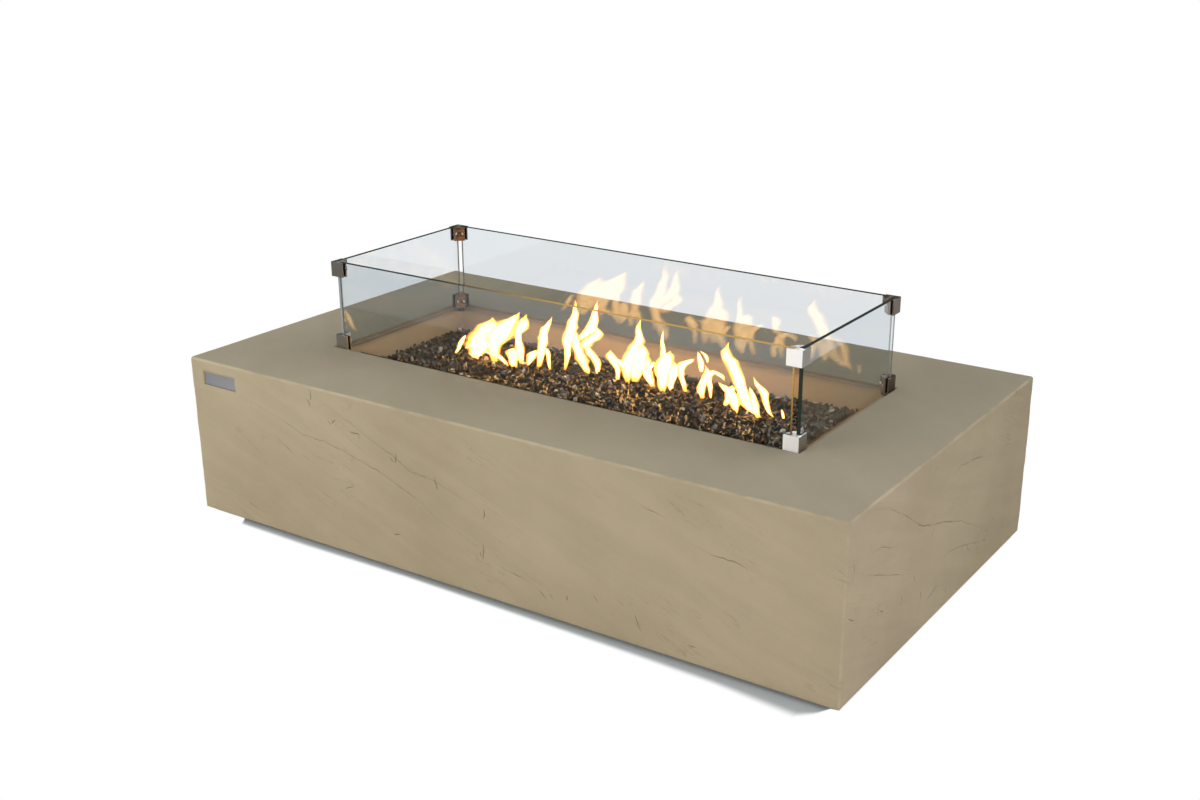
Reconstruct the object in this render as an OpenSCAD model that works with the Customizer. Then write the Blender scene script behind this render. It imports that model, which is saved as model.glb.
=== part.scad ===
// Rectangular gas fire pit table: a hollow cast concrete body with a sunk fire bowl, a drop-in
// burner pan under crushed glass, a loose glass wind guard held by corner clamps, and the gas
// controls in a recess in the left end. Sizes are in millimetres. The origin is on the floor
// under the middle of the body, +X runs along the long side, the front faces -Y and +Z is up.

/* [Concrete body] */
// Length of the body
body_l = 1550; // [1500:10:1650]
// Depth of the body from front to back
body_w = 876; // [840:2:940]
// Height of the casting
body_h = 350; // [340:5:400]
// Thickness of the side walls
wall = 22; // [18:1:28]
// Thickness of the top
slab = 30; // [26:1:40]
// Radius of the outer edges
edge_r = 6; // [3:1:10]
// Height of the casting above the floor
stand_gap = 10; // [8:1:16]

/* [Fire bowl] */
// Depth of the ledge that carries the guard, below the top
ledge_depth = 13; // [10:1:18]
// Width of the guard ledge
ledge_w = 26; // [22:1:32]
// Clearance between the guard and the edge of the opening
guard_gap = 3; // [2:0.5:5]
// Chamfer around the opening
rim = 2.5; // [1:0.5:4]
// Depth of the ledge that carries the pan, below the top
bowl_depth = 80; // [72:1:95]
// Width of the pan ledge
pan_ledge_w = 18; // [14:1:24]
// Height of the wall below the pan ledge
well_depth = 40; // [30:1:46]
// Thickness of the bowl wall
bowl_wall = 20; // [16:1:26]
// Corner radius of the bowl
bowl_r = 8; // [5:1:12]

/* [Badge] */
// Length of the badge
badge_l = 93; // [80:1:110]
// Height of the badge
badge_h = 28; // [22:1:34]
// Thickness of the badge
badge_t = 1.5; // [1:0.1:2.5]
// Depth of its pocket
badge_pocket = 4; // [3:0.5:6]
// Distance from the left end of the body to the badge
badge_side = 40; // [30:1:60]
// Distance from the top of the body to the badge
badge_drop = 27; // [20:1:40]

/* [Glass guard] */
// Outer length of the guard
guard_l = 1128; // [1100:2:1160]
// Outer depth of the guard
guard_w = 422; // [400:2:440]
// Height of the glass
glass_h = 195; // [150:5:240]
// Thickness of the glass
glass_t = 8; // [6:1:9]
// Bevel on the long edges of the glass
arris = 0.8; // [0.4:0.1:1.2]
// Distance from a guard corner to the end of a long panel
long_inset = 20; // [18:0.5:22]
// Gap between the ends of a short panel and the faces of the long panels
short_gap = 2; // [1.5:0.5:4]

/* [Corner clamps] */
// Length of each leg of a clamp
clamp_leg = 32; // [31:1:36]
// Height of a clamp
clamp_h = 32; // [26:1:40]
// Thickness of the outer plate of a clamp
clamp_wall = 3; // [2:0.5:4]
// Thickness of the pads between clamp and glass
pad_t = 1; // [0.5:0.1:1.2]
// Width of the bevelled face that carries the screws
bevel_w = 22; // [20:0.5:24]
// Diameter of the clamp screws
screw_d = 4; // [3:0.5:5]
// Diameter of a clamp screw head
screw_head_d = 7.5; // [6:0.5:8]
// Diameter of the rubber feet of the guard
guard_foot_d = 18; // [14:1:20]
// Height of the rubber feet of the guard
guard_foot_h = 8; // [5:1:10]

/* [Burner] */
// Thickness of the sheet metal
sheet = 1.5; // [1:0.1:2]
// Clearance between the pan and the concrete, on each side
pan_gap = 3; // [2:0.5:5]
// Depth of the pan
pan_depth = 49.5; // [44:0.5:54]
// Diameter of the weep holes in the pan
weep_d = 6; // [4:0.5:8]
// Length of the burner tube
burner_l = 900; // [700:10:960]
// Diameter of the burner tube
burner_d = 25.4; // [24:0.2:28]
// Height of the burner tube's axis above the floor of the pan
burner_rise = 41.5; // [38:0.5:46]
// Diameter of the gas ports
port_d = 4; // [3:0.2:5]
// Distance between neighbouring ports of a row
port_pitch = 30; // [24:1:40]
// Angle of each row of ports from the vertical
port_angle = 28; // [20:1:35]
// Outer diameter of the riser pipe
riser_d = 21.3; // [20:0.1:22]
// Diameter of the mixing chamber
mixer_d = 30; // [28:1:34]
// Length of the mixing chamber
mixer_l = 52; // [48:1:58]

/* [Fire glass] */
// Depth of the glass bed below the top, along the bowl wall
bed_drop = 57; // [50:1:66]
// Height of the crown in the middle of the bed
bed_crown = 17; // [8:1:18]
// Clearance around the bed
bed_gap = 0.5; // [0.3:0.1:1]
// Length of the level middle of the bed
bed_level_l = 640; // [400:10:800]
// Number of places for the large chips that stand out of the bed
chip_count = 260; // [60:10:300]
// Length of a large chip
chip_l = 20; // [14:1:22]

/* [Pilot] */
// Distance of the pilot from the middle, towards the left end
pilot_x = 98; // [90:1:160]
// Distance of the pilot behind the burner
pilot_y = 48; // [46:1:52]
// Distance from the pilot burner to the thermocouple and to the electrode
pilot_pitch = 19; // [17:0.5:20]
// Length of the mesh cage
cage_l = 66; // [62:1:76]
// Depth of the mesh cage
cage_w = 56; // [52:1:60]
// Height of the mesh cage
cage_h = 87; // [80:1:90]
// Pitch of the mesh
mesh_pitch = 8; // [7:0.5:10]
// Thickness of the mesh wires
mesh_wire = 1.6; // [1.2:0.1:2]

/* [Controls] */
// Height of the pan's underside above the controls
ctrl_drop = 57; // [52:1:64]
// Depth of the control recess
tray_depth = 40; // [38:1:48]
// Height of the control recess
tray_h = 84; // [74:1:100]
// Width of the flange around the control recess
tray_flange = 12; // [10:1:16]
// Clear space beside the knob and beside the igniter
tray_margin = 18; // [14:1:24]
// Diameter of the control knob
knob_d = 44; // [40:1:50]
// Length of the control knob
knob_l = 22; // [20:1:24]
// Distance that the knob can be pushed in
knob_travel = 6; // [4:0.5:6]
// Number of finger flutes around the knob
knob_flutes = 12; // [8:1:16]
// Diameter of the valve stem
stem_d = 8; // [7:0.5:9]
// Diameter of the valve plug
plug_d = 16; // [15:0.5:18]
// Diameter of the valve body
valve_d = 34; // [32:1:38]
// Diameter of the igniter button
button_d = 14; // [12:0.5:15]
// Distance between the knob and the igniter
igniter_pitch = 48; // [44:1:56]
// Distance that the igniter button can be pushed in
button_travel = 5; // [3:0.5:6]

/* [Gas lines] */
// Diameter of the gas hoses
hose_d = 14; // [12:0.5:15]
// Bend radius of the gas hoses
hose_bend = 45; // [36:1:48]
// Diameter of the pilot tube
pilot_tube_d = 6; // [5:0.2:6.4]
// Diameter of the thermocouple lead and the ignition wire
lead_d = 4; // [3:0.2:4.6]
// Distance of the gas inlet from the left end
inlet_side = 215; // [195:5:235]
// Height of the gas inlet above the bottom of the casting
inlet_rise = 30; // [28:1:34]
// Diameter of the flared inlet fitting
inlet_d = 15.8; // [14:0.1:16]
// Width of the notch for the supply hose
notch_w = 50; // [44:1:56]

/* [Feet] */
// Width of the cast boss over each foot
boss_w = 80; // [74:1:90]
// Height of the cast boss
boss_h = 52; // [48:1:60]
// Diameter of a rubber foot
foot_d = 48; // [40:1:54]
// Thickness of the rubber under the head of its screw
foot_web = 4; // [3:0.5:5]
// Diameter of a foot screw
foot_screw_d = 8; // [6:1:10]
// Outer diameter of a threaded insert
insert_d = 15; // [14:0.5:17]
// Length of a threaded insert
insert_l = 30; // [24:1:34]

/* [Hidden] */
$fn = 48;
eps = 1;
// Radial clearance of a shaft in its bore, and of a screw in its thread
fit = 0.05;
// Radial clearance of pieces that only slide past each other
slide_gap = 0.3;

// Heights
base_z = stand_gap;
top_z = base_z + body_h;
ledge_z = top_z - ledge_depth;
pan_ledge_z = top_z - bowl_depth;
collar_z = pan_ledge_z - well_depth;

// Plan of the opening, of the bowl and of the well that the pan drops into
opening_l = guard_l + 2 * guard_gap;
opening_w = guard_w + 2 * guard_gap;
bowl_l = opening_l - 2 * ledge_w;
bowl_w = opening_w - 2 * ledge_w;
well_l = bowl_l - 2 * pan_ledge_w;
well_w = bowl_w - 2 * pan_ledge_w;

// Guard: panels stand in the clamps, flush with the lower clamps' undersides
glass_z = ledge_z + guard_foot_h;
upper_z = glass_z + glass_h - clamp_h;
slot_w = glass_t + 2 * pad_t;
slot_face = clamp_wall + slot_w;
glass_off = clamp_wall + pad_t;
short_inset = glass_off + glass_t + short_gap;
slot_stop = 1;
bevel_leg = bevel_w / sqrt(2);
screw_side = screw_head_d / 2 + 0.25;
screw_seat = 5.5;
screw_head_h = 2.2;
foot_corner = 18;
foot_peg_d = 4;
foot_peg_h = 6;

// Pan
pan_base_z = pan_ledge_z + sheet - pan_depth;
pan_floor_z = pan_base_z + sheet;
pan_l = well_l - 2 * pan_gap;
pan_w = well_w - 2 * pan_gap;
flange_l = bowl_l - 2 * pan_gap;
flange_w = bowl_w - 2 * pan_gap;
weep_x = burner_l / 2 + 25;
weep_y = pan_w / 2 - 30;

// Burner, riser and mixing chamber, from the tube down
burner_r = burner_d / 2;
burner_z = pan_floor_z + burner_rise;
burner_wall = 1.5;
nut_h = 6;
nut_af = 32;
stub_z = pan_floor_z + nut_h + 2;
stub_wall = 2.5;
riser_r = riser_d / 2;
riser_bore = 7.9;
riser_top = burner_z - burner_r + 4;
mixer_top = pan_base_z - nut_h - 12;
mixer_socket = 14;
mixer_z = mixer_top - mixer_l;
throat_r = 6;
air_hole_d = 9;
orifice_thread = 10;
orifice_hex_h = 10;
nipple_l = 14;
nipple_bore = 4;
orifice_end = mixer_z - orifice_hex_h - nipple_l;
saddle_x = burner_l * 0.39;
saddle_l = 20;
saddle_ear = 14;
saddle_screw_d = 4;

// Fire glass bed
bed_edge_z = top_z - bed_drop;
bed_top_z = bed_edge_z + bed_crown;
bed_l = bowl_l - 2 * bed_gap;
bed_w = bowl_w - 2 * bed_gap;
bed_r = (bed_w * bed_w / 4 + bed_crown * bed_crown) / (2 * bed_crown);
bed_end_drop = bed_crown * 0.7;
// Each chip takes the next step of an even scatter that never repeats, as parts of the bed's length and width
chip_step_x = 0.7548776662;
chip_step_y = 0.5698402910;
// Steps of the three turns, as parts of a full turn, and of the size
chip_turns = [0.618034, 0.414214, 0.732051];
chip_size_step = 0.236068;
chip_least = 0.75;
chip_depth = chip_l * 0.2;
chip_reach = chip_l * 0.7;
chip_thick = chip_l * 0.5;
// A broken chip seen from above, in parts of its length
chip_outline = [[-0.5, -0.2], [-0.1, -0.42], [0.45, -0.3], [0.5, 0.12], [0.05, 0.4], [-0.4, 0.28]];

// Pilot
pilot_cap_z = pan_floor_z + 38;
pilot_plate_l = 2 * pilot_pitch + 14;
pilot_plate_w = 34;
pilot_burner_d = 10;
pilot_hood_d = 15;
probe_d = 5;
insulator_d = 7;
cage_frame = 2.4;

// Controls, measured inwards from the left end
end_x = -body_l / 2;
ctrl_z = pan_base_z - ctrl_drop;
panel_x = end_x + tray_depth;
behind_x = panel_x + sheet;
bezel_d = button_d + 14;
bezel_t = 3;
case_d = button_d + 6;
case_l = 36;
igniter_y = -igniter_pitch;
tray_y0 = igniter_y - bezel_d / 2 - tray_margin;
tray_y1 = knob_d / 2 + tray_margin;
tray_w = tray_y1 - tray_y0;
tray_y = (tray_y0 + tray_y1) / 2;
tray_screw_d = 4;
tray_screw_head = 8;
sink_slope = (tray_screw_head - tray_screw_d) / sheet;
knob_gap = knob_travel + 2;
knob_in = panel_x - knob_gap;
knob_out = knob_in - knob_l;
knob_skin = 3;
knob_hub_d = stem_d + 8;
bonnet_d = 18;
bonnet_out = panel_x - 6;
valve_nut_af = 22;
valve_nut_t = 4;
plug_x0 = behind_x + 12;
plug_l = 50;
stem_in = plug_x0 + 22;
stem_out = knob_out + knob_skin;
stem_flat = 1.5;
valve_end = plug_x0 + plug_l + 18;
port_x = plug_x0 + plug_l * 0.7;
pilot_port_x = port_x + 10;
pilot_way = 3;
magnet_d = 18;
magnet_l = 18;
boss_len = 8;

// Gas lines
hose_r = hose_d / 2;
hose_nut_l = 22;
hose_nut_af = hose_d + 7;
small_nut_l = 10;
small_nut_af = 11;
small_bend = 10;
lead_bend = 15;
valve_side = valve_d / 2;
outlet_z = ctrl_z - valve_side - boss_len - nipple_l;
hose_z = outlet_z - hose_nut_l / 2 - hose_bend - 5;
inlet_port_y = valve_side + boss_len + nipple_l;
pilot_boss = 6;
pilot_port_z = ctrl_z + valve_side + pilot_boss;
pilot_run_z = pilot_port_z + small_nut_l + small_bend + 1;
inlet_x = body_l / 2 - inlet_side;
inlet_z = base_z + inlet_rise;
rear_in = body_w / 2 - wall;
bracket_t = 3;
bracket_reach = 40;
bracket_y = rear_in - bracket_reach;
bracket_w = 56;
bracket_top = inlet_z + 70;
bracket_shelf = inlet_z + 36;
inlet_hex = 24;
inlet_hex_t = 8;
inlet_len = 18;
inlet_thread_d = 18;
supply_end_y = bracket_y - bracket_t - inlet_hex_t - nipple_l;
supply_turn_y = supply_end_y - 2.4 * hose_bend;
bracket_screw_d = 5;
bracket_screw_l = 16;

// Feet
foot_x = body_l / 2 - wall - boss_w / 2;
foot_y = body_w / 2 - wall - boss_w / 2;
foot_seat = base_z - foot_web;
foot_head_d = foot_screw_d * 1.6;
foot_head_h = 4;
foot_taper = 3;
insert_top = base_z + insert_l;

// A rectangle with rounded corners, centred
module round_rect(l, w, r) {
    square([l - 2 * r, w], center = true);
    square([l, w - 2 * r], center = true);
    for (x = [-1, 1], y = [-1, 1])
        translate([x * (l / 2 - r), y * (w / 2 - r)]) circle(r);
}

// A plate or block with rounded corners, standing on height z
module slab_at(z, h, l, w, r) {
    translate([0, 0, z]) linear_extrude(h) round_rect(l, w, r);
}

// Round and six-sided bars along each axis
module rod_x(x0, x1, d) {
    translate([x0, 0, 0]) rotate([0, 90, 0]) cylinder(d = d, h = x1 - x0);
}

module rod_y(y0, y1, d) {
    translate([0, y0, 0]) rotate([-90, 0, 0]) cylinder(d = d, h = y1 - y0);
}

module rod_z(z0, z1, d) {
    translate([0, 0, z0]) cylinder(d = d, h = z1 - z0);
}

module hex_z(z0, z1, af) {
    translate([0, 0, z0]) cylinder(d = af / cos(30), h = z1 - z0, $fn = 6);
}

module hex_x(x0, x1, af) {
    translate([x0, 0, 0]) rotate([0, 90, 0]) hex_z(0, x1 - x0, af);
}

module hex_y(y0, y1, af) {
    translate([0, y0, 0]) rotate([-90, 0, 0]) hex_z(0, y1 - y0, af);
}

// A pipe through a list of corner points, each turn a right angle of radius bend
function unit(v) = v / norm(v);

module pipe_route(points, d, bend) {
    last = len(points) - 1;
    for (i = [0:last - 1]) {
        way = unit(points[i + 1] - points[i]);
        start = points[i] + (i == 0 ? 0 : bend) * way;
        end = points[i + 1] - (i == last - 1 ? 0 : bend) * way;
        side = abs(way.z) > 0.5 ? [1, 0, 0] : [0, 0, 1];
        third = cross(way, side);
        multmatrix([[side.x, third.x, way.x, start.x], [side.y, third.y, way.y, start.y],
                    [side.z, third.z, way.z, start.z], [0, 0, 0, 1]])
            mirror([1, -1, 0]) cylinder(d = d, h = norm(end - start));
    }
    for (i = [1:1:last - 1]) {
        arrive = unit(points[i] - points[i - 1]);
        leave = unit(points[i + 1] - points[i]);
        centre = points[i] + bend * (leave - arrive);
        normal = cross(-leave, arrive);
        multmatrix([[-leave.x, arrive.x, normal.x, centre.x], [-leave.y, arrive.y, normal.y, centre.y],
                    [-leave.z, arrive.z, normal.z, centre.z], [0, 0, 0, 1]])
            rotate_extrude(angle = 90) translate([bend, 0]) circle(d = d);
    }
}

// Places its children at a corner of the guard, with +X and +Y running inwards
module at_corner(x, y) {
    translate([x * guard_l / 2, y * guard_w / 2, 0])
        mirror([x > 0 ? 1 : 0, 0, 0]) mirror([0, y > 0 ? 1 : 0, 0]) children();
}

// Concrete body
// The outer block, with every outer edge rounded
module body_block() {
    intersection() {
        slab_at(base_z, body_h, body_l, body_w, edge_r);
        rotate([90, 0, 0]) linear_extrude(body_w, center = true)
            translate([0, base_z + body_h / 2]) round_rect(body_l, body_h, edge_r);
        rotate([90, 0, 90]) linear_extrude(body_l, center = true)
            translate([0, base_z + body_h / 2]) round_rect(body_w, body_h, edge_r);
    }
}

// The hollow under the top, open at the bottom
module body_hollow() {
    slab_at(base_z - eps, body_h - slab + eps, body_l - 2 * wall, body_w - 2 * wall, edge_r);
}

// The recess through the left end wall, with the shallow seat of the tray's flange
module control_cut() {
    translate([end_x, tray_y, ctrl_z]) {
        cube([4 * wall, tray_w + 2 * sheet + 1, tray_h + 2 * sheet + 1], center = true);
        cube([2 * sheet, tray_w + 2 * tray_flange + 1, tray_h + 2 * tray_flange + 1], center = true);
    }
    tray_screw_places() rod_x(0, wall * 0.8, tray_screw_d + 2 * fit);
}

// The arch in the back wall for the supply hose
module notch_cut() {
    translate([-inlet_x, 0, inlet_z]) {
        rod_y(rear_in - eps, body_w / 2 + eps, notch_w);
        translate([-notch_w / 2, rear_in - eps, -inlet_z]) cube([notch_w, wall + 2 * eps, inlet_z]);
    }
}

// A mitred chamfer around the opening, as one sunk frustum
module rim_profile(width) {
    polygon([[-width / 2, top_z - rim], [width / 2, top_z - rim], [width / 2 + rim + eps, top_z + eps],
        [-width / 2 - rim - eps, top_z + eps]]);
}

module rim_cut() {
    intersection() {
        rotate([90, 0, 0]) linear_extrude(body_w, center = true) rim_profile(opening_l);
        rotate([90, 0, 90]) linear_extrude(body_l, center = true) rim_profile(opening_w);
    }
}

module concrete_body() {
    color("#AB9C7D") difference() {
        union() {
            difference() {
                body_block();
                body_hollow();
            }
            slab_at(collar_z, top_z - slab / 2 - collar_z, bowl_l + 2 * bowl_wall, bowl_w + 2 * bowl_wall,
                bowl_r + bowl_wall / 2);
            for (x = [-1, 1], y = [-1, 1])
                translate([x * (foot_x + 1), y * (foot_y + 1), base_z + boss_h / 2])
                    cube([boss_w + 2, boss_w + 2, boss_h], center = true);
        }
        rim_cut();
        slab_at(ledge_z, ledge_depth + eps, opening_l, opening_w, bowl_r / 2);
        slab_at(pan_ledge_z, bowl_depth, bowl_l, bowl_w, bowl_r);
        slab_at(collar_z - eps, well_depth + 2 * eps, well_l, well_w, bowl_r);
        translate([end_x + badge_side - 0.5, -body_w / 2 - eps, top_z - badge_drop - badge_h - 0.5])
            cube([badge_l + 1, badge_pocket + eps, badge_h + 1]);
        control_cut();
        notch_cut();
        bracket_screw_places() rod_y(-eps, bracket_screw_l - bracket_t, bracket_screw_d + 2 * fit);
        every_foot() rod_z(base_z - eps, insert_top + 5, insert_d + 2 * fit);
    }
}

// The plain badge, bonded into its pocket
module badge_plate() {
    color("#9C9A96") translate([end_x + badge_side, -body_w / 2 + badge_pocket - badge_t,
            top_z - badge_drop - badge_h])
        cube([badge_l, badge_t, badge_h]);
}

// Glass guard
// A panel that runs along +X from the origin, its outer face on Y = 0
module glass_panel(length) {
    color("#CFE0DC", 0.4) rotate([90, 0, 90]) linear_extrude(length) polygon([
        [arris, 0], [glass_t - arris, 0], [glass_t, arris], [glass_t, glass_h - arris],
        [glass_t - arris, glass_h], [arris, glass_h], [0, glass_h - arris], [0, arris]]);
}

module long_glass(y) {
    at_corner(-1, y) translate([long_inset, glass_off, glass_z]) glass_panel(guard_l - 2 * long_inset);
}

module short_glass(x) {
    at_corner(x, -1) translate([glass_off, short_inset, glass_z])
        mirror([1, -1, 0]) glass_panel(guard_w - 2 * short_inset);
}

// Corner clamps
// Plan of a clamp: an outer plate, a core in the corner and a bevelled inner block, with a
// slot for each panel between them
module clamp_section() {
    tip = clamp_leg - bevel_leg;
    difference() {
        square(clamp_leg);
        translate([long_inset - slot_stop, clamp_wall]) square([clamp_leg, slot_w]);
        translate([clamp_wall, short_inset - slot_stop]) square([slot_w, clamp_leg]);
        polygon([[clamp_leg + eps, tip - eps], [clamp_leg + eps, clamp_leg + eps], [tip - eps, clamp_leg + eps]]);
    }
}

// The place of each of the two screws of a clamp, with +Y running inwards from the slot
module clamp_screw_places() {
    for (turn = [0, 1]) mirror([turn, -turn, 0])
        translate([clamp_leg - screw_side, slot_face, clamp_h / 2]) children();
}

module clamp(x, y, z, with_foot) {
    color("#A9A6A1") at_corner(x, y) translate([0, 0, z]) difference() {
        linear_extrude(clamp_h) clamp_section();
        clamp_screw_places() {
            rod_y(-eps, clamp_leg, screw_d + 2 * fit);
            rod_y(screw_seat, clamp_leg, screw_head_d + 2 * slide_gap);
        }
        if (with_foot)
            translate([foot_corner, foot_corner, 0]) rod_z(-eps, foot_peg_h + fit, foot_peg_d + 2 * fit);
    }
}

module every_clamp() {
    for (x = [-1, 1], y = [-1, 1], z = [glass_z, upper_z]) at_corner(x, y) translate([0, 0, z]) children();
}

// Domed socket screws that press the pads on the glass
module clamp_screws() {
    socket = screw_d * 0.6;
    dome = (screw_head_d * screw_head_d / 4 + screw_head_h * screw_head_h) / (2 * screw_head_h);
    color("#C9C7C2") every_clamp() clamp_screw_places() difference() {
        union() {
            rod_y(0, screw_seat + fit, screw_d);
            intersection() {
                rod_y(screw_seat, screw_seat + screw_head_h, screw_head_d);
                translate([0, screw_seat + screw_head_h - dome, 0]) sphere(dome);
            }
        }
        hex_y(screw_seat + screw_head_h - 1.4, screw_seat + screw_head_h + eps, socket);
    }
}

// Thin pads on both faces of the glass in every slot
module clamp_pads() {
    edge = 1;
    color("#1E1D1C") every_clamp() for (face = [clamp_wall, slot_face - pad_t]) {
        translate([long_inset, face, edge]) cube([clamp_leg - long_inset - edge, pad_t, clamp_h - 2 * edge]);
        translate([face, short_inset, edge]) cube([pad_t, clamp_leg - short_inset - edge, clamp_h - 2 * edge]);
    }
}

// Tapered rubber feet pegged into the lower clamps
module guard_feet() {
    color("#1B1A19") for (x = [-1, 1], y = [-1, 1]) at_corner(x, y)
        translate([foot_corner, foot_corner, ledge_z]) {
            cylinder(d1 = guard_foot_d - 2, d2 = guard_foot_d, h = guard_foot_h);
            rod_z(guard_foot_h - eps, guard_foot_h + foot_peg_h, foot_peg_d);
        }
}

// Burner
module pilot_places(z) {
    for (i = [-1, 0, 1]) translate([-pilot_x + i * pilot_pitch, pilot_y, z]) children();
}

module saddle_screw_places() {
    for (x = [-1, 1], y = [-1, 1])
        translate([x * saddle_x, y * (burner_r + sheet + saddle_ear / 2), 0]) children();
}

// The folded pan hangs by its flange in the bowl
module burner_pan() {
    color("#A8A7A3") difference() {
        union() {
            slab_at(pan_ledge_z, sheet, flange_l, flange_w, bowl_r);
            slab_at(pan_base_z, pan_depth - sheet / 2, pan_l, pan_w, bowl_r);
        }
        slab_at(pan_floor_z, pan_depth, pan_l - 2 * sheet, pan_w - 2 * sheet, bowl_r - sheet);
        rod_z(pan_base_z - eps, pan_floor_z + eps, riser_d + 2 * slide_gap);
        for (x = [-1, 0, 1], y = [-1, 1])
            translate([x * weep_x, y * weep_y, 0]) rod_z(pan_base_z - eps, pan_floor_z + eps, weep_d);
        pilot_places(pan_base_z) rod_z(-eps, sheet + eps, pilot_tube_d + 4);
        saddle_screw_places() rod_z(pan_base_z - eps, pan_floor_z + eps, saddle_screw_d + 2 * fit);
    }
}

// The burner: a closed tube with two rows of ports, and a stub for the riser
module burner_tube() {
    count = floor((burner_l / 2 - 20) / port_pitch);
    color("#9A9792") difference() {
        union() {
            translate([0, 0, burner_z]) rod_x(-burner_l / 2, burner_l / 2, burner_d);
            rod_z(stub_z, burner_z, riser_d + 2 * stub_wall);
        }
        translate([0, 0, burner_z])
            rod_x(-burner_l / 2 + burner_wall, burner_l / 2 - burner_wall, burner_d - 2 * burner_wall);
        rod_z(stub_z - eps, riser_top, riser_d + 2 * fit);
        rod_z(riser_top - eps, burner_z, 2 * riser_bore);
        for (side = [-1, 1], i = [-count:count - 1])
            translate([(i + 0.5 + side / 4) * port_pitch, 0, burner_z])
                rotate([side * port_angle, 0, 0]) cylinder(d = port_d, h = burner_d);
    }
}

// Straps that hold the tube to the pan, each one bent strip with two ears
module burner_saddles() {
    color("#8F8E8B") difference() {
        for (x = [-1, 1])
            translate([x * saddle_x - saddle_l / 2, 0, 0]) rotate([90, 0, 90]) linear_extrude(saddle_l)
                difference() {
                    union() {
                        translate([0, burner_z]) circle(burner_r + sheet);
                        translate([-burner_r - sheet, pan_floor_z]) square([burner_d + 2 * sheet, burner_rise]);
                        translate([-burner_r - sheet - saddle_ear, pan_floor_z])
                            square([burner_d + 2 * sheet + 2 * saddle_ear, sheet]);
                    }
                    translate([0, burner_z]) circle(burner_r + fit);
                    translate([-burner_r, pan_floor_z - eps]) square([burner_d, burner_rise + eps]);
                }
        saddle_screw_places() rod_z(pan_floor_z - eps, pan_floor_z + 2 * sheet, saddle_screw_d + 2 * fit);
    }
}

module burner_riser() {
    color("#8C8A86") difference() {
        rod_z(mixer_top - mixer_socket, riser_top, riser_d);
        rod_z(mixer_top - mixer_socket - eps, riser_top + eps, 2 * riser_bore);
    }
}

// Nuts on the riser, one on each side of the pan
module riser_locknuts() {
    color("#9B9A96") for (z = [pan_base_z - nut_h, pan_floor_z]) difference() {
        hex_z(z, z + nut_h, nut_af);
        rod_z(z - eps, z + nut_h + eps, riser_d + 2 * fit);
    }
}

// The mixing chamber, where the jet of gas draws in air through two holes
module air_mixer() {
    color("#B99B4E") difference() {
        rod_z(mixer_z, mixer_top, mixer_d);
        rod_z(mixer_top - mixer_socket, mixer_top + eps, riser_d + 2 * fit);
        rod_z(mixer_z + orifice_thread, mixer_top, 2 * throat_r);
        rod_z(mixer_z - eps, mixer_z + orifice_thread + eps, 2 * (throat_r + 2));
        translate([0, 0, mixer_z + orifice_thread + air_hole_d]) rod_y(-mixer_d, mixer_d, air_hole_d);
    }
}

module orifice_fitting() {
    color("#B99B4E") difference() {
        union() {
            rod_z(mixer_z - eps, mixer_z + orifice_thread - eps, 2 * (throat_r + 2) - 2 * fit);
            hex_z(mixer_z - orifice_hex_h, mixer_z, 22);
            rod_z(orifice_end, mixer_z - orifice_hex_h + eps, hose_d);
        }
        rod_z(orifice_end - eps, mixer_z, 2 * nipple_bore);
        rod_z(mixer_z - eps, mixer_z + orifice_thread, 1.6);
    }
}

// Fire glass
// Height of the bed's surface at a place
function bed_z(x, y) = min(bed_top_z - bed_r + sqrt(bed_r * bed_r - y * y),
    bed_top_z - bed_end_drop * max(0, abs(x) - bed_level_l / 2) / (bed_l / 2 - bed_level_l / 2));

// How far a place lies outside the cage
function past_cage(x, y) = max(abs(x + pilot_x) - cage_l / 2, abs(y - pilot_y) - cage_w / 2);

// The large chips, half sunk in the heap and turned every way
module large_chips() {
    for (k = [1 : chip_count]) {
        x = ((k * chip_step_x) % 1 - 0.5) * (bed_l - 2 * chip_reach);
        y = ((k * chip_step_y) % 1 - 0.5) * (bed_w - 2 * chip_reach);
        size = chip_l * (chip_least + (1 - chip_least) * ((k * chip_size_step) % 1));
        if (past_cage(x, y) > chip_reach)
            translate([x, y, bed_z(x, y) - chip_depth]) rotate(360 * [for (t = chip_turns) (k * t) % 1])
                linear_extrude(chip_thick, center = true) polygon(size * chip_outline);
    }
}

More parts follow.
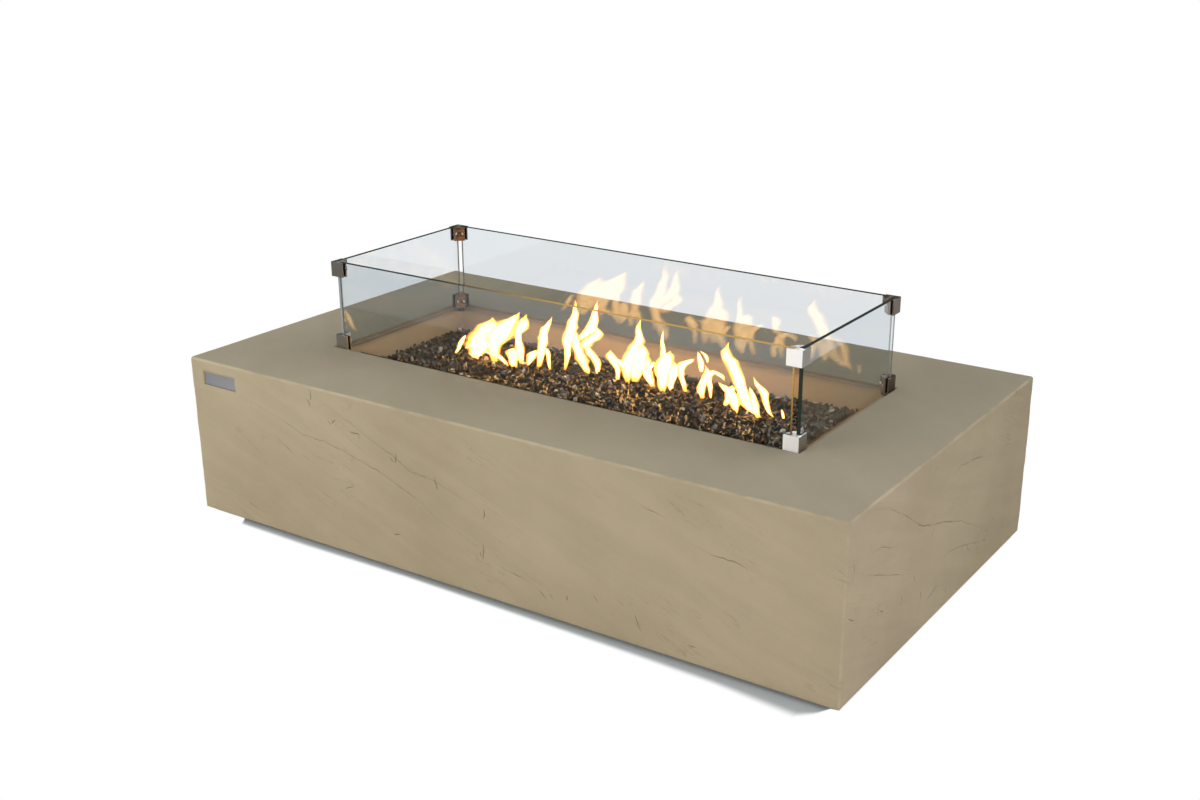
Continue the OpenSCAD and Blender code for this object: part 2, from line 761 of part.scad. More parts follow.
// The bed of crushed glass: a crowned heap that buries the burner and stays out of the cage
module fire_glass() {
    color("#2E2925") difference() {
        union() {
            large_chips();
            intersection() {
                union() {
                    slab_at(pan_floor_z, pan_depth, pan_l - 2 * sheet - 2 * bed_gap, pan_w - 2 * sheet - 2 * bed_gap,
                        bowl_r - sheet);
                    slab_at(pan_ledge_z + sheet, bowl_depth, bed_l, bed_w, bowl_r);
                }
                rotate([90, 0, 90]) linear_extrude(bed_l, center = true)
                    translate([0, bed_top_z - bed_r]) circle(bed_r, $fn = 400);
                rotate([90, 0, 0]) linear_extrude(bed_w, center = true) polygon([
                    [-bed_l / 2, pan_floor_z], [bed_l / 2, pan_floor_z],
                    [bed_l / 2, bed_top_z - bed_end_drop], [bed_level_l / 2, bed_top_z],
                    [-bed_level_l / 2, bed_top_z], [-bed_l / 2, bed_top_z - bed_end_drop]]);
            }
        }
        translate([0, 0, burner_z]) rod_x(-burner_l / 2 - bed_gap, burner_l / 2 + bed_gap, burner_d + 2 * bed_gap);
        rod_z(pan_floor_z - eps, burner_z, riser_d + 2 * stub_wall + 2 * bed_gap);
        rod_z(pan_floor_z - eps, pan_floor_z + nut_h + bed_gap, nut_af / cos(30) + 2 * bed_gap);
        for (x = [-1, 1]) translate([x * saddle_x, 0, 0]) {
            width = burner_d + 2 * sheet + 2 * bed_gap;
            translate([-saddle_l / 2 - bed_gap, -width / 2, pan_floor_z - eps])
                cube([saddle_l + 2 * bed_gap, width, burner_rise + eps]);
            translate([-saddle_l / 2 - bed_gap, -width / 2 - saddle_ear, pan_floor_z - eps])
                cube([saddle_l + 2 * bed_gap, width + 2 * saddle_ear, sheet + bed_gap + eps]);
            translate([0, 0, burner_z]) rod_x(-saddle_l / 2 - bed_gap, saddle_l / 2 + bed_gap, width);
        }
        translate([-pilot_x - cage_l / 2 - bed_gap, pilot_y - cage_w / 2 - bed_gap, pan_floor_z - eps])
            cube([cage_l + 2 * bed_gap, cage_w + 2 * bed_gap, bowl_depth + pan_depth]);
    }
}

// Pilot
// One flat panel of wire mesh with a frame, from the origin along +X and +Y
module mesh_panel(l, w) {
    across = floor((l - 2 * cage_frame) / mesh_pitch);
    up = floor((w - 2 * cage_frame) / mesh_pitch);
    step_x = (l - 2 * cage_frame + mesh_wire) / across;
    step_y = (w - 2 * cage_frame + mesh_wire) / up;
    linear_extrude(mesh_wire) difference() {
        square([l, w]);
        for (i = [0:across - 1], j = [0:up - 1])
            translate([cage_frame + i * step_x, cage_frame + j * step_y])
                square([step_x - mesh_wire, step_y - mesh_wire]);
    }
}

// The mesh box that keeps the fire glass off the pilot, open at the bottom
module pilot_cage() {
    color("#8E8C88") translate([-pilot_x - cage_l / 2, pilot_y - cage_w / 2, pan_floor_z]) {
        for (y = [mesh_wire, cage_w]) translate([0, y, 0]) rotate([90, 0, 0]) mesh_panel(cage_l, cage_h);
        for (x = [0, cage_l - mesh_wire])
            translate([x, 0, 0]) rotate([90, 0, 90]) mesh_panel(cage_w, cage_h);
        translate([0, 0, cage_h - mesh_wire]) mesh_panel(cage_l, cage_w);
    }
}

// A channel bent from sheet, with a row of three holes through both flanges
module pilot_bracket() {
    color("#9FA09E") difference() {
        translate([-pilot_x - pilot_plate_l / 2, pilot_y - pilot_plate_w / 2, pan_floor_z])
            difference() {
                cube([pilot_plate_l, pilot_plate_w, pilot_cap_z - pan_floor_z]);
                translate([-eps, -eps, sheet])
                    cube([pilot_plate_l + 2 * eps, pilot_plate_w - sheet + eps, pilot_cap_z - pan_floor_z - 2 * sheet]);
            }
        translate([-pilot_x, pilot_y, 0]) rod_z(pan_floor_z - eps, pilot_cap_z + eps, pilot_burner_d + 2 * fit);
        translate([-pilot_x - pilot_pitch, pilot_y, 0])
            rod_z(pan_floor_z - eps, pilot_cap_z + eps, probe_d + 2 * fit);
        translate([-pilot_x + pilot_pitch, pilot_y, 0])
            rod_z(pan_floor_z - eps, pilot_cap_z + eps, insulator_d + 2 * fit);
    }
}

// The pilot burner: a jet tube with a collar, and a slotted hood that splits the flame
module pilot_burner() {
    hood_z = pilot_cap_z + 10;
    hood_h = 20;
    color("#A58F55") translate([-pilot_x, pilot_y, 0]) difference() {
        union() {
            rod_z(pan_floor_z, hood_z, pilot_burner_d);
            rod_z(pilot_cap_z, pilot_cap_z + 3, pilot_burner_d + 4);
            rod_z(hood_z - eps, hood_z + hood_h, pilot_hood_d);
        }
        rod_z(pan_floor_z - eps, hood_z + eps, 4);
        rod_z(hood_z, hood_z + hood_h - 2, pilot_hood_d - 2.4);
        for (turn = [0, 90]) rotate(turn)
            translate([-pilot_hood_d, -2, hood_z + 8]) cube([2 * pilot_hood_d, 4, 7]);
    }
}

module thermocouple() {
    color("#B08A64") translate([-pilot_x - pilot_pitch, pilot_y, 0]) {
        rod_z(pan_floor_z, pilot_cap_z + 22, probe_d);
        rod_z(pilot_cap_z, pilot_cap_z + 4, probe_d + 3);
        translate([0, 0, pilot_cap_z + 22]) sphere(d = probe_d);
    }
}

// The ceramic insulator with its spark rod bent towards the hood
module spark_electrode() {
    rod = 2;
    reach = pilot_pitch - pilot_hood_d / 2 - 3;
    tip_z = pilot_cap_z + 24;
    color("#D9D4C6") translate([-pilot_x + pilot_pitch, pilot_y, 0]) {
        rod_z(pan_floor_z, pilot_cap_z + 14, insulator_d);
        rod_z(pilot_cap_z, pilot_cap_z + 3, insulator_d + 3);
        rod_z(pilot_cap_z + 13, tip_z + rod / 2, rod);
        translate([0, 0, tip_z]) rod_x(-reach, 0, rod);
    }
}

// Controls
module tray_screw_places() {
    for (y = [-1, 1], z = [-1, 1])
        translate([end_x, tray_y + y * (tray_w / 2 + tray_flange / 2 + sheet / 2),
            ctrl_z + z * (tray_h / 2 + tray_flange / 2 + sheet / 2)]) children();
}

// The pressed tray that sinks the controls behind the face of the left end
module control_tray() {
    color("#A5A4A0") difference() {
        union() {
            translate([end_x, tray_y - tray_w / 2 - tray_flange, ctrl_z - tray_h / 2 - tray_flange])
                cube([sheet, tray_w + 2 * tray_flange, tray_h + 2 * tray_flange]);
            translate([end_x, tray_y - tray_w / 2 - sheet, ctrl_z - tray_h / 2 - sheet])
                cube([tray_depth + sheet, tray_w + 2 * sheet, tray_h + 2 * sheet]);
        }
        translate([end_x - eps, tray_y - tray_w / 2, ctrl_z - tray_h / 2])
            cube([tray_depth + eps, tray_w, tray_h]);
        translate([0, 0, ctrl_z]) rod_x(panel_x - eps, behind_x + eps, bonnet_d + 2 * fit);
        translate([0, igniter_y, ctrl_z]) rod_x(panel_x - eps, behind_x + eps, case_d + 2 * fit);
        tray_screw_places() {
            rod_x(-eps, 2 * sheet, tray_screw_d + 2 * fit);
            translate([-eps, 0, 0]) rotate([0, 90, 0])
                cylinder(d1 = tray_screw_head + 2 * fit + eps * sink_slope, d2 = tray_screw_d + 2 * fit,
                         h = sheet + eps);
        }
    }
}

// Countersunk screws that hold the tray, flush with its flange
module tray_screws() {
    color("#BDBBB6") tray_screw_places() difference() {
        union() {
            rotate([0, 90, 0]) cylinder(d1 = tray_screw_head, d2 = tray_screw_d, h = sheet);
            rod_x(sheet - fit, wall * 0.75, tray_screw_d);
        }
        hex_x(-eps, sheet * 0.8, tray_screw_d * 0.6);
    }
}

// The tap: a round brass body with its bonnet through the tray, ports for the supply, the
// burner and the pilot, and the flame sensor's magnet at the far end
module valve_body() {
    color("#B3954A") translate([0, 0, ctrl_z]) difference() {
        union() {
            rod_x(bonnet_out, behind_x + eps, bonnet_d);
            rod_x(behind_x, valve_end, valve_d);
            rod_x(valve_end - eps, valve_end + magnet_l, magnet_d);
            translate([port_x, 0, 0]) {
                rod_z(-valve_side - boss_len, 0, hose_d + 6);
                rod_z(-valve_side - boss_len - nipple_l, 0, hose_d);
                rod_y(0, valve_side + boss_len, hose_d + 6);
                rod_y(0, valve_side + boss_len + nipple_l, hose_d);
            }
            translate([pilot_port_x, 0, 0]) rod_z(0, valve_side + pilot_boss, pilot_tube_d + 3);
        }
        rod_x(bonnet_out - eps, plug_x0 + eps, stem_d + 2 * slide_gap);
        rod_x(plug_x0, plug_x0 + plug_l, plug_d + 2 * fit);
        translate([port_x, 0, 0]) {
            rod_z(-valve_side - boss_len - nipple_l - eps, 0, 2 * nipple_bore);
            rod_y(0, valve_side + boss_len + nipple_l + eps, 2 * nipple_bore);
        }
        translate([pilot_port_x, 0, 0]) rod_z(0, valve_side + pilot_boss + eps, pilot_way);
    }
}

module valve_nut() {
    color("#A9A79F") translate([0, 0, ctrl_z]) difference() {
        hex_x(panel_x - valve_nut_t, panel_x, valve_nut_af);
        rod_x(panel_x - valve_nut_t - eps, panel_x + eps, bonnet_d + 2 * fit);
    }
}

// The stem's round section with its driving flat
module stem_section(clearance) {
    r = stem_d / 2 + clearance;
    difference() {
        circle(r);
        translate([-r, stem_d / 2 - stem_flat + clearance]) square([2 * r, r]);
    }
}

module stem_bar(x0, x1, clearance) {
    translate([x0, 0, 0]) rotate([90, 0, 90]) linear_extrude(x1 - x0) stem_section(clearance);
}

// The turning plug, with a socket for the stem. Its bend joins inlet and outlet after a half
// turn, and its small ways feed the pilot after a quarter turn and after a half turn
module valve_plug() {
    color("#C2A65C") translate([0, 0, ctrl_z]) difference() {
        rod_x(plug_x0 + slide_gap, plug_x0 + plug_l - slide_gap, plug_d);
        stem_bar(plug_x0, stem_in + knob_travel + 2, fit);
        translate([port_x, 0, 0]) {
            rod_z(0, plug_d, 2 * nipple_bore);
            rod_y(-plug_d, 0, 2 * nipple_bore);
        }
        rod_x(port_x, pilot_port_x, pilot_way);
        translate([pilot_port_x, 0, 0]) {
            rod_z(-plug_d, 0, pilot_way);
            rod_y(-plug_d, 0, pilot_way);
        }
    }
}

module valve_stem() {
    color("#B8B6B0") translate([0, 0, ctrl_z]) stem_bar(stem_out, stem_in, 0);
}

// The knob: a fluted cap, hollow towards the panel, with a hub on the stem and a pointer groove
module control_knob() {
    flute = knob_d * 0.13;
    color("#26262A") translate([0, 0, ctrl_z]) difference() {
        union() {
            difference() {
                rod_x(knob_out, knob_in, knob_d);
                rod_x(knob_out + knob_skin, knob_in + eps, knob_d - 4 * knob_skin);
            }
            rod_x(knob_out + eps, knob_in - knob_gap, knob_hub_d);
        }
        stem_bar(stem_out, knob_in, fit);
        for (i = [0:knob_flutes - 1]) rotate([(i + 0.5) * 360 / knob_flutes, 0, 0])
            translate([0, 0, knob_d / 2 + flute * 0.55]) rod_x(knob_out - eps, knob_in - 4, 2 * flute);
        translate([knob_out - eps, -1, knob_d / 4]) cube([1 + eps, 2, knob_d / 4 + eps]);
    }
}

module igniter_case() {
    color("#2A2A2B") translate([0, igniter_y, ctrl_z]) difference() {
        union() {
            rod_x(panel_x - bezel_t, panel_x, bezel_d);
            rod_x(panel_x - eps, behind_x + case_l, case_d);
        }
        rod_x(panel_x - bezel_t - eps, behind_x + case_l * 0.7, button_d + 2 * slide_gap);
    }
}

module igniter_nut() {
    color("#A9A79F") translate([0, igniter_y, ctrl_z]) difference() {
        hex_x(behind_x, behind_x + valve_nut_t, case_d + 8);
        rod_x(behind_x - eps, behind_x + valve_nut_t + eps, case_d + 2 * fit);
    }
}

// The push button of the igniter, with a dished end
module igniter_button() {
    out = panel_x - bezel_t - button_travel - 3;
    dish = button_d * 1.4;
    color("#B6B4AE") translate([0, igniter_y, ctrl_z]) difference() {
        rod_x(out, behind_x + case_l * 0.7 - button_travel - 2, button_d);
        translate([out - dish + 1, 0, 0]) sphere(dish);
    }
}

// Gas lines
module main_hose() {
    color("#8D8B86") pipe_route([[port_x, 0, outlet_z], [port_x, 0, hose_z], [0, 0, hose_z],
        [0, 0, orifice_end]], hose_d, hose_bend);
}

module supply_hose() {
    color("#8D8B86") pipe_route([[-inlet_x, supply_end_y, inlet_z], [-inlet_x, supply_turn_y, inlet_z],
        [-inlet_x, supply_turn_y, ctrl_z], [port_x, supply_turn_y, ctrl_z], [port_x, inlet_port_y, ctrl_z]],
        hose_d, hose_bend);
}

// One nut along +Z, centred on the joint between a nipple and its hose
module line_nut(length, af, d) {
    difference() {
        hex_z(-length / 2, length / 2, af);
        rod_z(-length / 2 - eps, length / 2 + eps, d + 2 * fit);
    }
}

module hose_nuts() {
    color("#B99B4E") {
        translate([port_x, 0, outlet_z]) line_nut(hose_nut_l, hose_nut_af, hose_d);
        translate([0, 0, orifice_end]) line_nut(hose_nut_l, hose_nut_af, hose_d);
        translate([port_x, inlet_port_y, ctrl_z]) rotate([90, 0, 0]) line_nut(hose_nut_l, hose_nut_af, hose_d);
        translate([-inlet_x, supply_end_y, inlet_z]) rotate([90, 0, 0]) line_nut(hose_nut_l, hose_nut_af, hose_d);
    }
}

module pilot_tube() {
    color("#B9BBBC") pipe_route([[pilot_port_x, 0, pilot_port_z], [pilot_port_x, 0, pilot_run_z],
        [-pilot_x, 0, pilot_run_z], [-pilot_x, pilot_y, pilot_run_z], [-pilot_x, pilot_y, pan_floor_z]],
        pilot_tube_d, small_bend);
}

module thermocouple_lead() {
    end = valve_end + magnet_l;
    color("#A8643C") pipe_route([[end, 0, ctrl_z], [-pilot_x - pilot_pitch, 0, ctrl_z],
        [-pilot_x - pilot_pitch, pilot_y, ctrl_z], [-pilot_x - pilot_pitch, pilot_y, pan_floor_z]],
        lead_d, lead_bend);
}

module ignition_wire() {
    color("#9E3B22") pipe_route([[behind_x + case_l, igniter_y, ctrl_z],
        [-pilot_x + pilot_pitch, igniter_y, ctrl_z], [-pilot_x + pilot_pitch, pilot_y, ctrl_z],
        [-pilot_x + pilot_pitch, pilot_y, pan_floor_z]], lead_d, lead_bend);
}

// Small nuts on the pilot tube at the valve and on the thermocouple lead at the magnet
module line_nuts() {
    color("#B99B4E") {
        translate([pilot_port_x, 0, pilot_port_z + small_nut_l / 2 + fit])
            line_nut(small_nut_l, small_nut_af, pilot_tube_d);
        translate([valve_end + magnet_l + small_nut_l / 2, 0, ctrl_z]) rotate([0, 90, 0])
            line_nut(small_nut_l, small_nut_af, lead_d);
    }
}

// The flared fitting for the supply hose, through its bracket
module gas_inlet() {
    face = bracket_y;
    back = bracket_y - bracket_t;
    color("#B99B4E") translate([-inlet_x, 0, inlet_z]) difference() {
        union() {
            hex_y(face, face + inlet_hex_t, inlet_hex);
            rod_y(face, face + inlet_hex_t + inlet_len, inlet_d);
            rod_y(back - inlet_hex_t, face + eps, inlet_thread_d);
            rod_y(supply_end_y, back, hose_d);
        }
        rod_y(supply_end_y - eps, face + inlet_hex_t + inlet_len + eps, 2 * nipple_bore);
    }
}

module bracket_screw_places() {
    for (x = [-1, 1])
        translate([-inlet_x + x * bracket_w / 4, rear_in, (bracket_top + bracket_shelf) / 2 + bracket_t]) children();
}

// A strip bent twice: up against the back wall, forwards, and down to carry the fitting
module inlet_bracket() {
    color("#8F8E8B") difference() {
        translate([-inlet_x - bracket_w / 2, 0, 0]) rotate([90, 0, 90]) linear_extrude(bracket_w) polygon([
            [rear_in, bracket_top], [rear_in - bracket_t, bracket_top],
            [rear_in - bracket_t, bracket_shelf + bracket_t], [bracket_y - bracket_t, bracket_shelf + bracket_t],
            [bracket_y - bracket_t, inlet_z - inlet_hex * 0.8], [bracket_y, inlet_z - inlet_hex * 0.8],
            [bracket_y, bracket_shelf], [rear_in, bracket_shelf]]);
        translate([-inlet_x, 0, inlet_z]) rod_y(bracket_y - bracket_t - eps, bracket_y + eps, inlet_thread_d + 2 * fit);
        bracket_screw_places() rod_y(-bracket_t - eps, eps, bracket_screw_d + 2 * fit);
    }
}

module bracket_screws() {
    head_h = 3;
    color("#BDBBB6") bracket_screw_places() difference() {
        union() {
            rod_y(-bracket_t - head_h, -bracket_t, bracket_screw_d * 1.9);
            rod_y(-bracket_t - eps, bracket_screw_l - bracket_t - eps, bracket_screw_d);
        }
        hex_y(-bracket_t - head_h - eps, -bracket_t - head_h + 1.8, bracket_screw_d * 0.6);
    }
}

// Feet
module every_foot() {
    for (x = [-1, 1], y = [-1, 1]) translate([x * foot_x, y * foot_y, 0]) children();
}

module foot_inserts() {
    color("#A58F55") every_foot() difference() {
        rod_z(base_z, insert_top, insert_d);
        rod_z(base_z - eps, insert_top + eps, foot_screw_d + 2 * fit);
    }
}

// Tapered rubber feet under the corner bosses, with their screws sunk in them
module foot_pads() {
    color("#1D1C1B") every_foot() difference() {
        cylinder(d1 = foot_d - foot_taper, d2 = foot_d, h = stand_gap);
        rod_z(-eps, foot_seat, foot_head_d + 2 * slide_gap);
        rod_z(0, base_z + eps, foot_screw_d + 2 * fit);
    }
}

module foot_screws() {
    color("#B4B2AD") every_foot() difference() {
        union() {
            rod_z(foot_seat - foot_head_h, foot_seat, foot_head_d);
            rod_z(foot_seat - eps, insert_top - 4, foot_screw_d);
        }
        hex_z(foot_seat - foot_head_h - eps, foot_seat - 1.5, foot_screw_d * 0.6);
    }
}

concrete_body();
badge_plate();
long_glass(-1);  // front_glass
long_glass(1);  // rear_glass
short_glass(-1);  // left_glass
short_glass(1);  // right_glass
clamp(-1, -1, glass_z, true);  // lower_clamp_fl
clamp(1, -1, glass_z, true);  // lower_clamp_fr
clamp(-1, 1, glass_z, true);  // lower_clamp_rl
clamp(1, 1, glass_z, true);  // lower_clamp_rr
clamp(-1, -1, upper_z, false);  // upper_clamp_fl
clamp(1, -1, upper_z, false);  // upper_clamp_fr
clamp(-1, 1, upper_z, false);  // upper_clamp_rl
clamp(1, 1, upper_z, false);  // upper_clamp_rr
clamp_screws();
clamp_pads();
guard_feet();
burner_pan();
burner_tube();
burner_saddles();
burner_riser();
riser_locknuts();
air_mixer();
orifice_fitting();
fire_glass();
pilot_cage();
pilot_bracket();
pilot_burner();
thermocouple();
spark_electrode();
control_tray();
tray_screws();
valve_body();
valve_nut();
valve_plug();
valve_stem();
control_knob();
igniter_case();
igniter_nut();
igniter_button();
main_hose();
supply_hose();
hose_nuts();
pilot_tube();
thermocouple_lead();
ignition_wire();
line_nuts();
gas_inlet();
inlet_bracket();
bracket_screws();
foot_inserts();
foot_pads();
foot_screws();
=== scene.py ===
import math

import bmesh
import bpy
from mathutils import Matrix, Vector, noise


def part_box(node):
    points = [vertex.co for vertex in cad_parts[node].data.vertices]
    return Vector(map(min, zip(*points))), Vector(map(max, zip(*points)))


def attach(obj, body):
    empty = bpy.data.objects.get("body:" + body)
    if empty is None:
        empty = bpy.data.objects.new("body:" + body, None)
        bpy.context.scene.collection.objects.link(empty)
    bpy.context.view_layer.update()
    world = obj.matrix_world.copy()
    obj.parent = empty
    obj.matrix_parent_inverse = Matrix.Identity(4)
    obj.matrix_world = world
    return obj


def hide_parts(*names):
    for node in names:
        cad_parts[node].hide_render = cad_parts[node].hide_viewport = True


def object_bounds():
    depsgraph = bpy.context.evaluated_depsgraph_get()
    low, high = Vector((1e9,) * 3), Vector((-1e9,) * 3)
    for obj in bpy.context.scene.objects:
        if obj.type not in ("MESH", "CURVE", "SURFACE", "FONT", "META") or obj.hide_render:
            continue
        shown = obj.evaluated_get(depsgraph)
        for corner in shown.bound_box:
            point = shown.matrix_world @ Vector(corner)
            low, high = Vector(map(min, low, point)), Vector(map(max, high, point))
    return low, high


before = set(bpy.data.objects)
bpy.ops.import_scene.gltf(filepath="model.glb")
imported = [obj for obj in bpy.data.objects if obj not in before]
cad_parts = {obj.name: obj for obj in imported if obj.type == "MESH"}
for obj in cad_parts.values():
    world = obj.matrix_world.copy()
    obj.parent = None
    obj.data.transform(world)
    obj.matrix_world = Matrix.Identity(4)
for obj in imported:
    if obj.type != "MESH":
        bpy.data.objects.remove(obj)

cad_low, cad_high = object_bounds()
scene = bpy.context.scene
scene.view_settings.view_transform = "Standard"


# The studio: white paper in a white surround, with four soft lamps: a wide one far to the left, a tall one
# in front, a wide one over the back and a small weak one for the right end. The camera has a 44 mm lens and
# stands off the front right corner, about 1.3 m above the floor.
def srgb(code):
    parts = [int(code[i:i + 2], 16) / 255 for i in (1, 3, 5)]
    return tuple(c / 12.92 if c <= 0.04045 else ((c + 0.055) / 1.055) ** 2.4 for c in parts) + (1.0,)


def plug(node, sockets):
    # Each named socket gets a fixed value, or a link from a socket or from a node's first output in use
    for name, value in sockets.items():
        if isinstance(value, bpy.types.Node):
            value = next(socket for socket in value.outputs if socket.enabled)
        if isinstance(value, bpy.types.NodeSocket):
            node.id_data.links.new(value, node.inputs[name])
        else:
            node.inputs[name].default_value = value


def add(tree, kind, sockets=None, **settings):
    node = tree.nodes.new(kind)
    for name, value in settings.items():
        setattr(node, name, value)
    plug(node, sockets or {})
    return node


def new_material(name):
    material = bpy.data.materials.new(name)
    material.use_nodes = True
    tree = material.node_tree
    shader = tree.nodes["Principled BSDF"]
    return material, tree, shader


def set_stops(ramp, stops):
    elements = ramp.color_ramp.elements
    while len(elements) < len(stops):
        elements.new(0.5)
    for element, (place, code) in zip(elements, stops):
        element.position = place
        element.color = srgb(code) if isinstance(code, str) else (code, code, code, 1.0)


def link_mesh(name, mesh):
    piece = bpy.data.objects.new(name, mesh)
    scene.collection.objects.link(piece)
    return piece


white = (1.0, 1.0, 1.0, 1.0)
world = bpy.data.worlds.new("White surround")
scene.world = world
world.use_nodes = True
tree = world.node_tree
path = add(tree, "ShaderNodeLightPath").outputs
seen = add(tree, "ShaderNodeMath", {0: path["Is Camera Ray"], 1: path["Is Transmission Ray"]},
           operation="MAXIMUM")
# Metal and glass see a bright panel in front and a bright ceiling, and a dim room between them
direction = add(tree, "ShaderNodeTexCoord").outputs["Generated"]
level = add(tree, "ShaderNodeVectorMath", {0: direction, 1: (1.0, 1.0, 0.0)}, operation="MULTIPLY")
level = add(tree, "ShaderNodeVectorMath", {0: level}, operation="NORMALIZE")
toward_front = add(tree, "ShaderNodeVectorMath", {0: level, 1: (-0.43, -0.903, 0.0)},
                   operation="DOT_PRODUCT")
front_panel = add(tree, "ShaderNodeMapRange", {"Value": toward_front, "From Min": 0.95, "From Max": 0.985,
                  "To Min": 0.16}, interpolation_type="SMOOTHSTEP")
height = add(tree, "ShaderNodeSeparateXYZ", {0: direction}).outputs["Z"]
overhead = add(tree, "ShaderNodeMapRange", {"Value": height, "From Min": 0.4, "From Max": 0.9},
               interpolation_type="SMOOTHSTEP")
mirrored = add(tree, "ShaderNodeMath", {0: front_panel, 1: overhead}, operation="MAXIMUM")
ambient = add(tree, "ShaderNodeMix", {"Factor": path["Is Glossy Ray"], "A": 0.56, "B": mirrored})
strength = add(tree, "ShaderNodeMix", {"Factor": seen, "A": ambient, "B": 1.0})
plug(tree.nodes["Background"], {"Color": white, "Strength": strength})

# The paper is pure white except for a painted shadow round the body's foot, in which its real shadow also
# shows
floor_mesh = bpy.data.meshes.new("studio_floor")
floor_mesh.from_pydata([(-40, -40, 0), (40, -40, 0), (40, 40, 0), (-40, 40, 0)], [], [(0, 1, 2, 3)])
floor = link_mesh("studio_floor", floor_mesh)
paper, tree, shader = new_material("White seamless paper")
path = add(tree, "ShaderNodeLightPath").outputs
seen = add(tree, "ShaderNodeMath", {0: path["Is Camera Ray"], 1: path["Is Transmission Ray"]},
           operation="MAXIMUM")
place = add(tree, "ShaderNodeTexCoord").outputs["Object"]
# In mirrors the paper turns from white to a painted dark grey from 0.9 to 1.7 m left of the middle, standing
# for a dark studio
along = add(tree, "ShaderNodeSeparateXYZ", {0: place}).outputs["X"]
paper_end = add(tree, "ShaderNodeMapRange", {"Value": along, "From Min": -1.7, "From Max": -0.9},
                interpolation_type="SMOOTHSTEP")
mirror = add(tree, "ShaderNodeMath", {0: path["Is Glossy Ray"], 1: paper_end}, operation="MULTIPLY")
seen = add(tree, "ShaderNodeMath", {0: seen, 1: mirror}, operation="MAXIMUM")
# The painted shadow starts 20 mm under the body and reaches out in front, by a width that changes along it
half_foot = (cad_high - cad_low) / 2
tucked_in = 0.02
beside_width = 0.012
past = add(tree, "ShaderNodeVectorMath", {0: place}, operation="ABSOLUTE")
starts = (half_foot.x - tucked_in, half_foot.y - tucked_in, 0.0)
past = add(tree, "ShaderNodeVectorMath", {0: past, 1: starts}, operation="SUBTRACT")
past = add(tree, "ShaderNodeVectorMath", {0: past, 1: (0.0, 0.0, 0.0)}, operation="MAXIMUM")
past = add(tree, "ShaderNodeSeparateXYZ", {0: past}).outputs
lengthwise = add(tree, "ShaderNodeMapRange", {"Value": along, "From Min": -half_foot.x,
                 "From Max": half_foot.x})
band = add(tree, "ShaderNodeValToRGB", {"Fac": lengthwise})
set_stops(band, [(0.066, 0.002), (0.076, 0.028), (0.2, 0.031), (0.38, 0.026), (0.5, 0.029), (0.75, 0.038),
                 (0.85, 0.044), (0.93, 0.058), (0.957, 0.062), (0.975, 0.035), (0.985, 0.002)])
beyond = add(tree, "ShaderNodeMath", {0: past["Y"], 1: band}, operation="DIVIDE")
beside = add(tree, "ShaderNodeMath", {0: past["X"], 1: beside_width}, operation="DIVIDE")
beyond = add(tree, "ShaderNodeCombineXYZ", {"X": beside, "Y": beyond})
beyond = add(tree, "ShaderNodeVectorMath", {0: beyond}, operation="LENGTH")
open_floor = add(tree, "ShaderNodeMapRange", {"Value": beyond, "From Min": 0.6, "From Max": 1.1},
                 interpolation_type="SMOOTHSTEP")
# Painted shadow: where the camera looks, the paper inside the band is coloured blue-grey with a faint blue
# glow, and outside it shows plain white
bare = add(tree, "ShaderNodeMath", {0: seen, 1: open_floor}, operation="MULTIPLY")
shadow_glow = add(tree, "ShaderNodeMath", {0: seen, 1: 0.06}, operation="MULTIPLY")
# Painted reflection: to mirrors the paper is dark grey, to other light it is nearly white
bounced = add(tree, "ShaderNodeMix", {"Factor": path["Is Glossy Ray"], "A": srgb("#F2F2F2"),
              "B": srgb("#3C3C3D")}, data_type="RGBA")
shaded = add(tree, "ShaderNodeMix", {"Factor": seen, "A": bounced, "B": srgb("#AEB6B8")}, data_type="RGBA")
plug(shader, {"Base Color": shaded, "Roughness": 1.0, "Specular IOR Level": 0.0,
     "Emission Color": (0.94, 0.98, 1.0, 1.0), "Emission Strength": shadow_glow})
plain = add(tree, "ShaderNodeEmission", {"Color": white})
mixed = add(tree, "ShaderNodeMixShader", {0: bare, 1: shader, 2: plain})
plug(tree.nodes["Material Output"], {"Surface": mixed})
floor.data.materials.append(paper)

for name, place, aim, width, tall, power in (
        ("soft_lamp_left", (-3.2, -2.5, 2.6), (-0.2, 0.0, 0.2), 2.6, 2.6, 44.0),
        ("soft_lamp_front", (-1.5, -3.1, 1.9), (-0.45, 0.0, 0.25), 0.9, 2.4, 25.0),
        ("soft_lamp_back", (1.1, 1.4, 3.3), (0.3, -0.1, 0.3), 2.2, 2.2, 28.0),
        ("soft_lamp_right", (2.9, -1.0, 1.2), (0.78, -0.55, 0.15), 0.7, 0.7, 1.5)):
    lamp = bpy.data.lights.new(name, "AREA")
    lamp.shape = "RECTANGLE"
    lamp.size, lamp.size_y = width, tall
    lamp.energy = power
    lamp.spread = math.radians(55 if name == "soft_lamp_right" else 180)
    lamp.color = (0.92, 0.87, 1.0) if name == "soft_lamp_right" else white[:3]
    holder = bpy.data.objects.new(name, lamp)
    holder.location = place
    holder.rotation_euler = (Vector(aim) - Vector(place)).to_track_quat("-Z", "Y").to_euler()
    holder.visible_glossy = name not in ("soft_lamp_left", "soft_lamp_right")
    scene.collection.objects.link(holder)

camera = bpy.data.objects.new("camera", bpy.data.cameras.new("camera"))
camera.data.lens = 44.39
camera.data.shift_x = -0.031
camera.data.shift_y = 0.0232
camera.data.clip_end = 200.0
camera.location = (1.669, -2.434, 1.341)
camera.rotation_euler = (math.radians(69.22), math.radians(-0.173), math.radians(33.18))
scene.collection.objects.link(camera)
scene.camera = camera
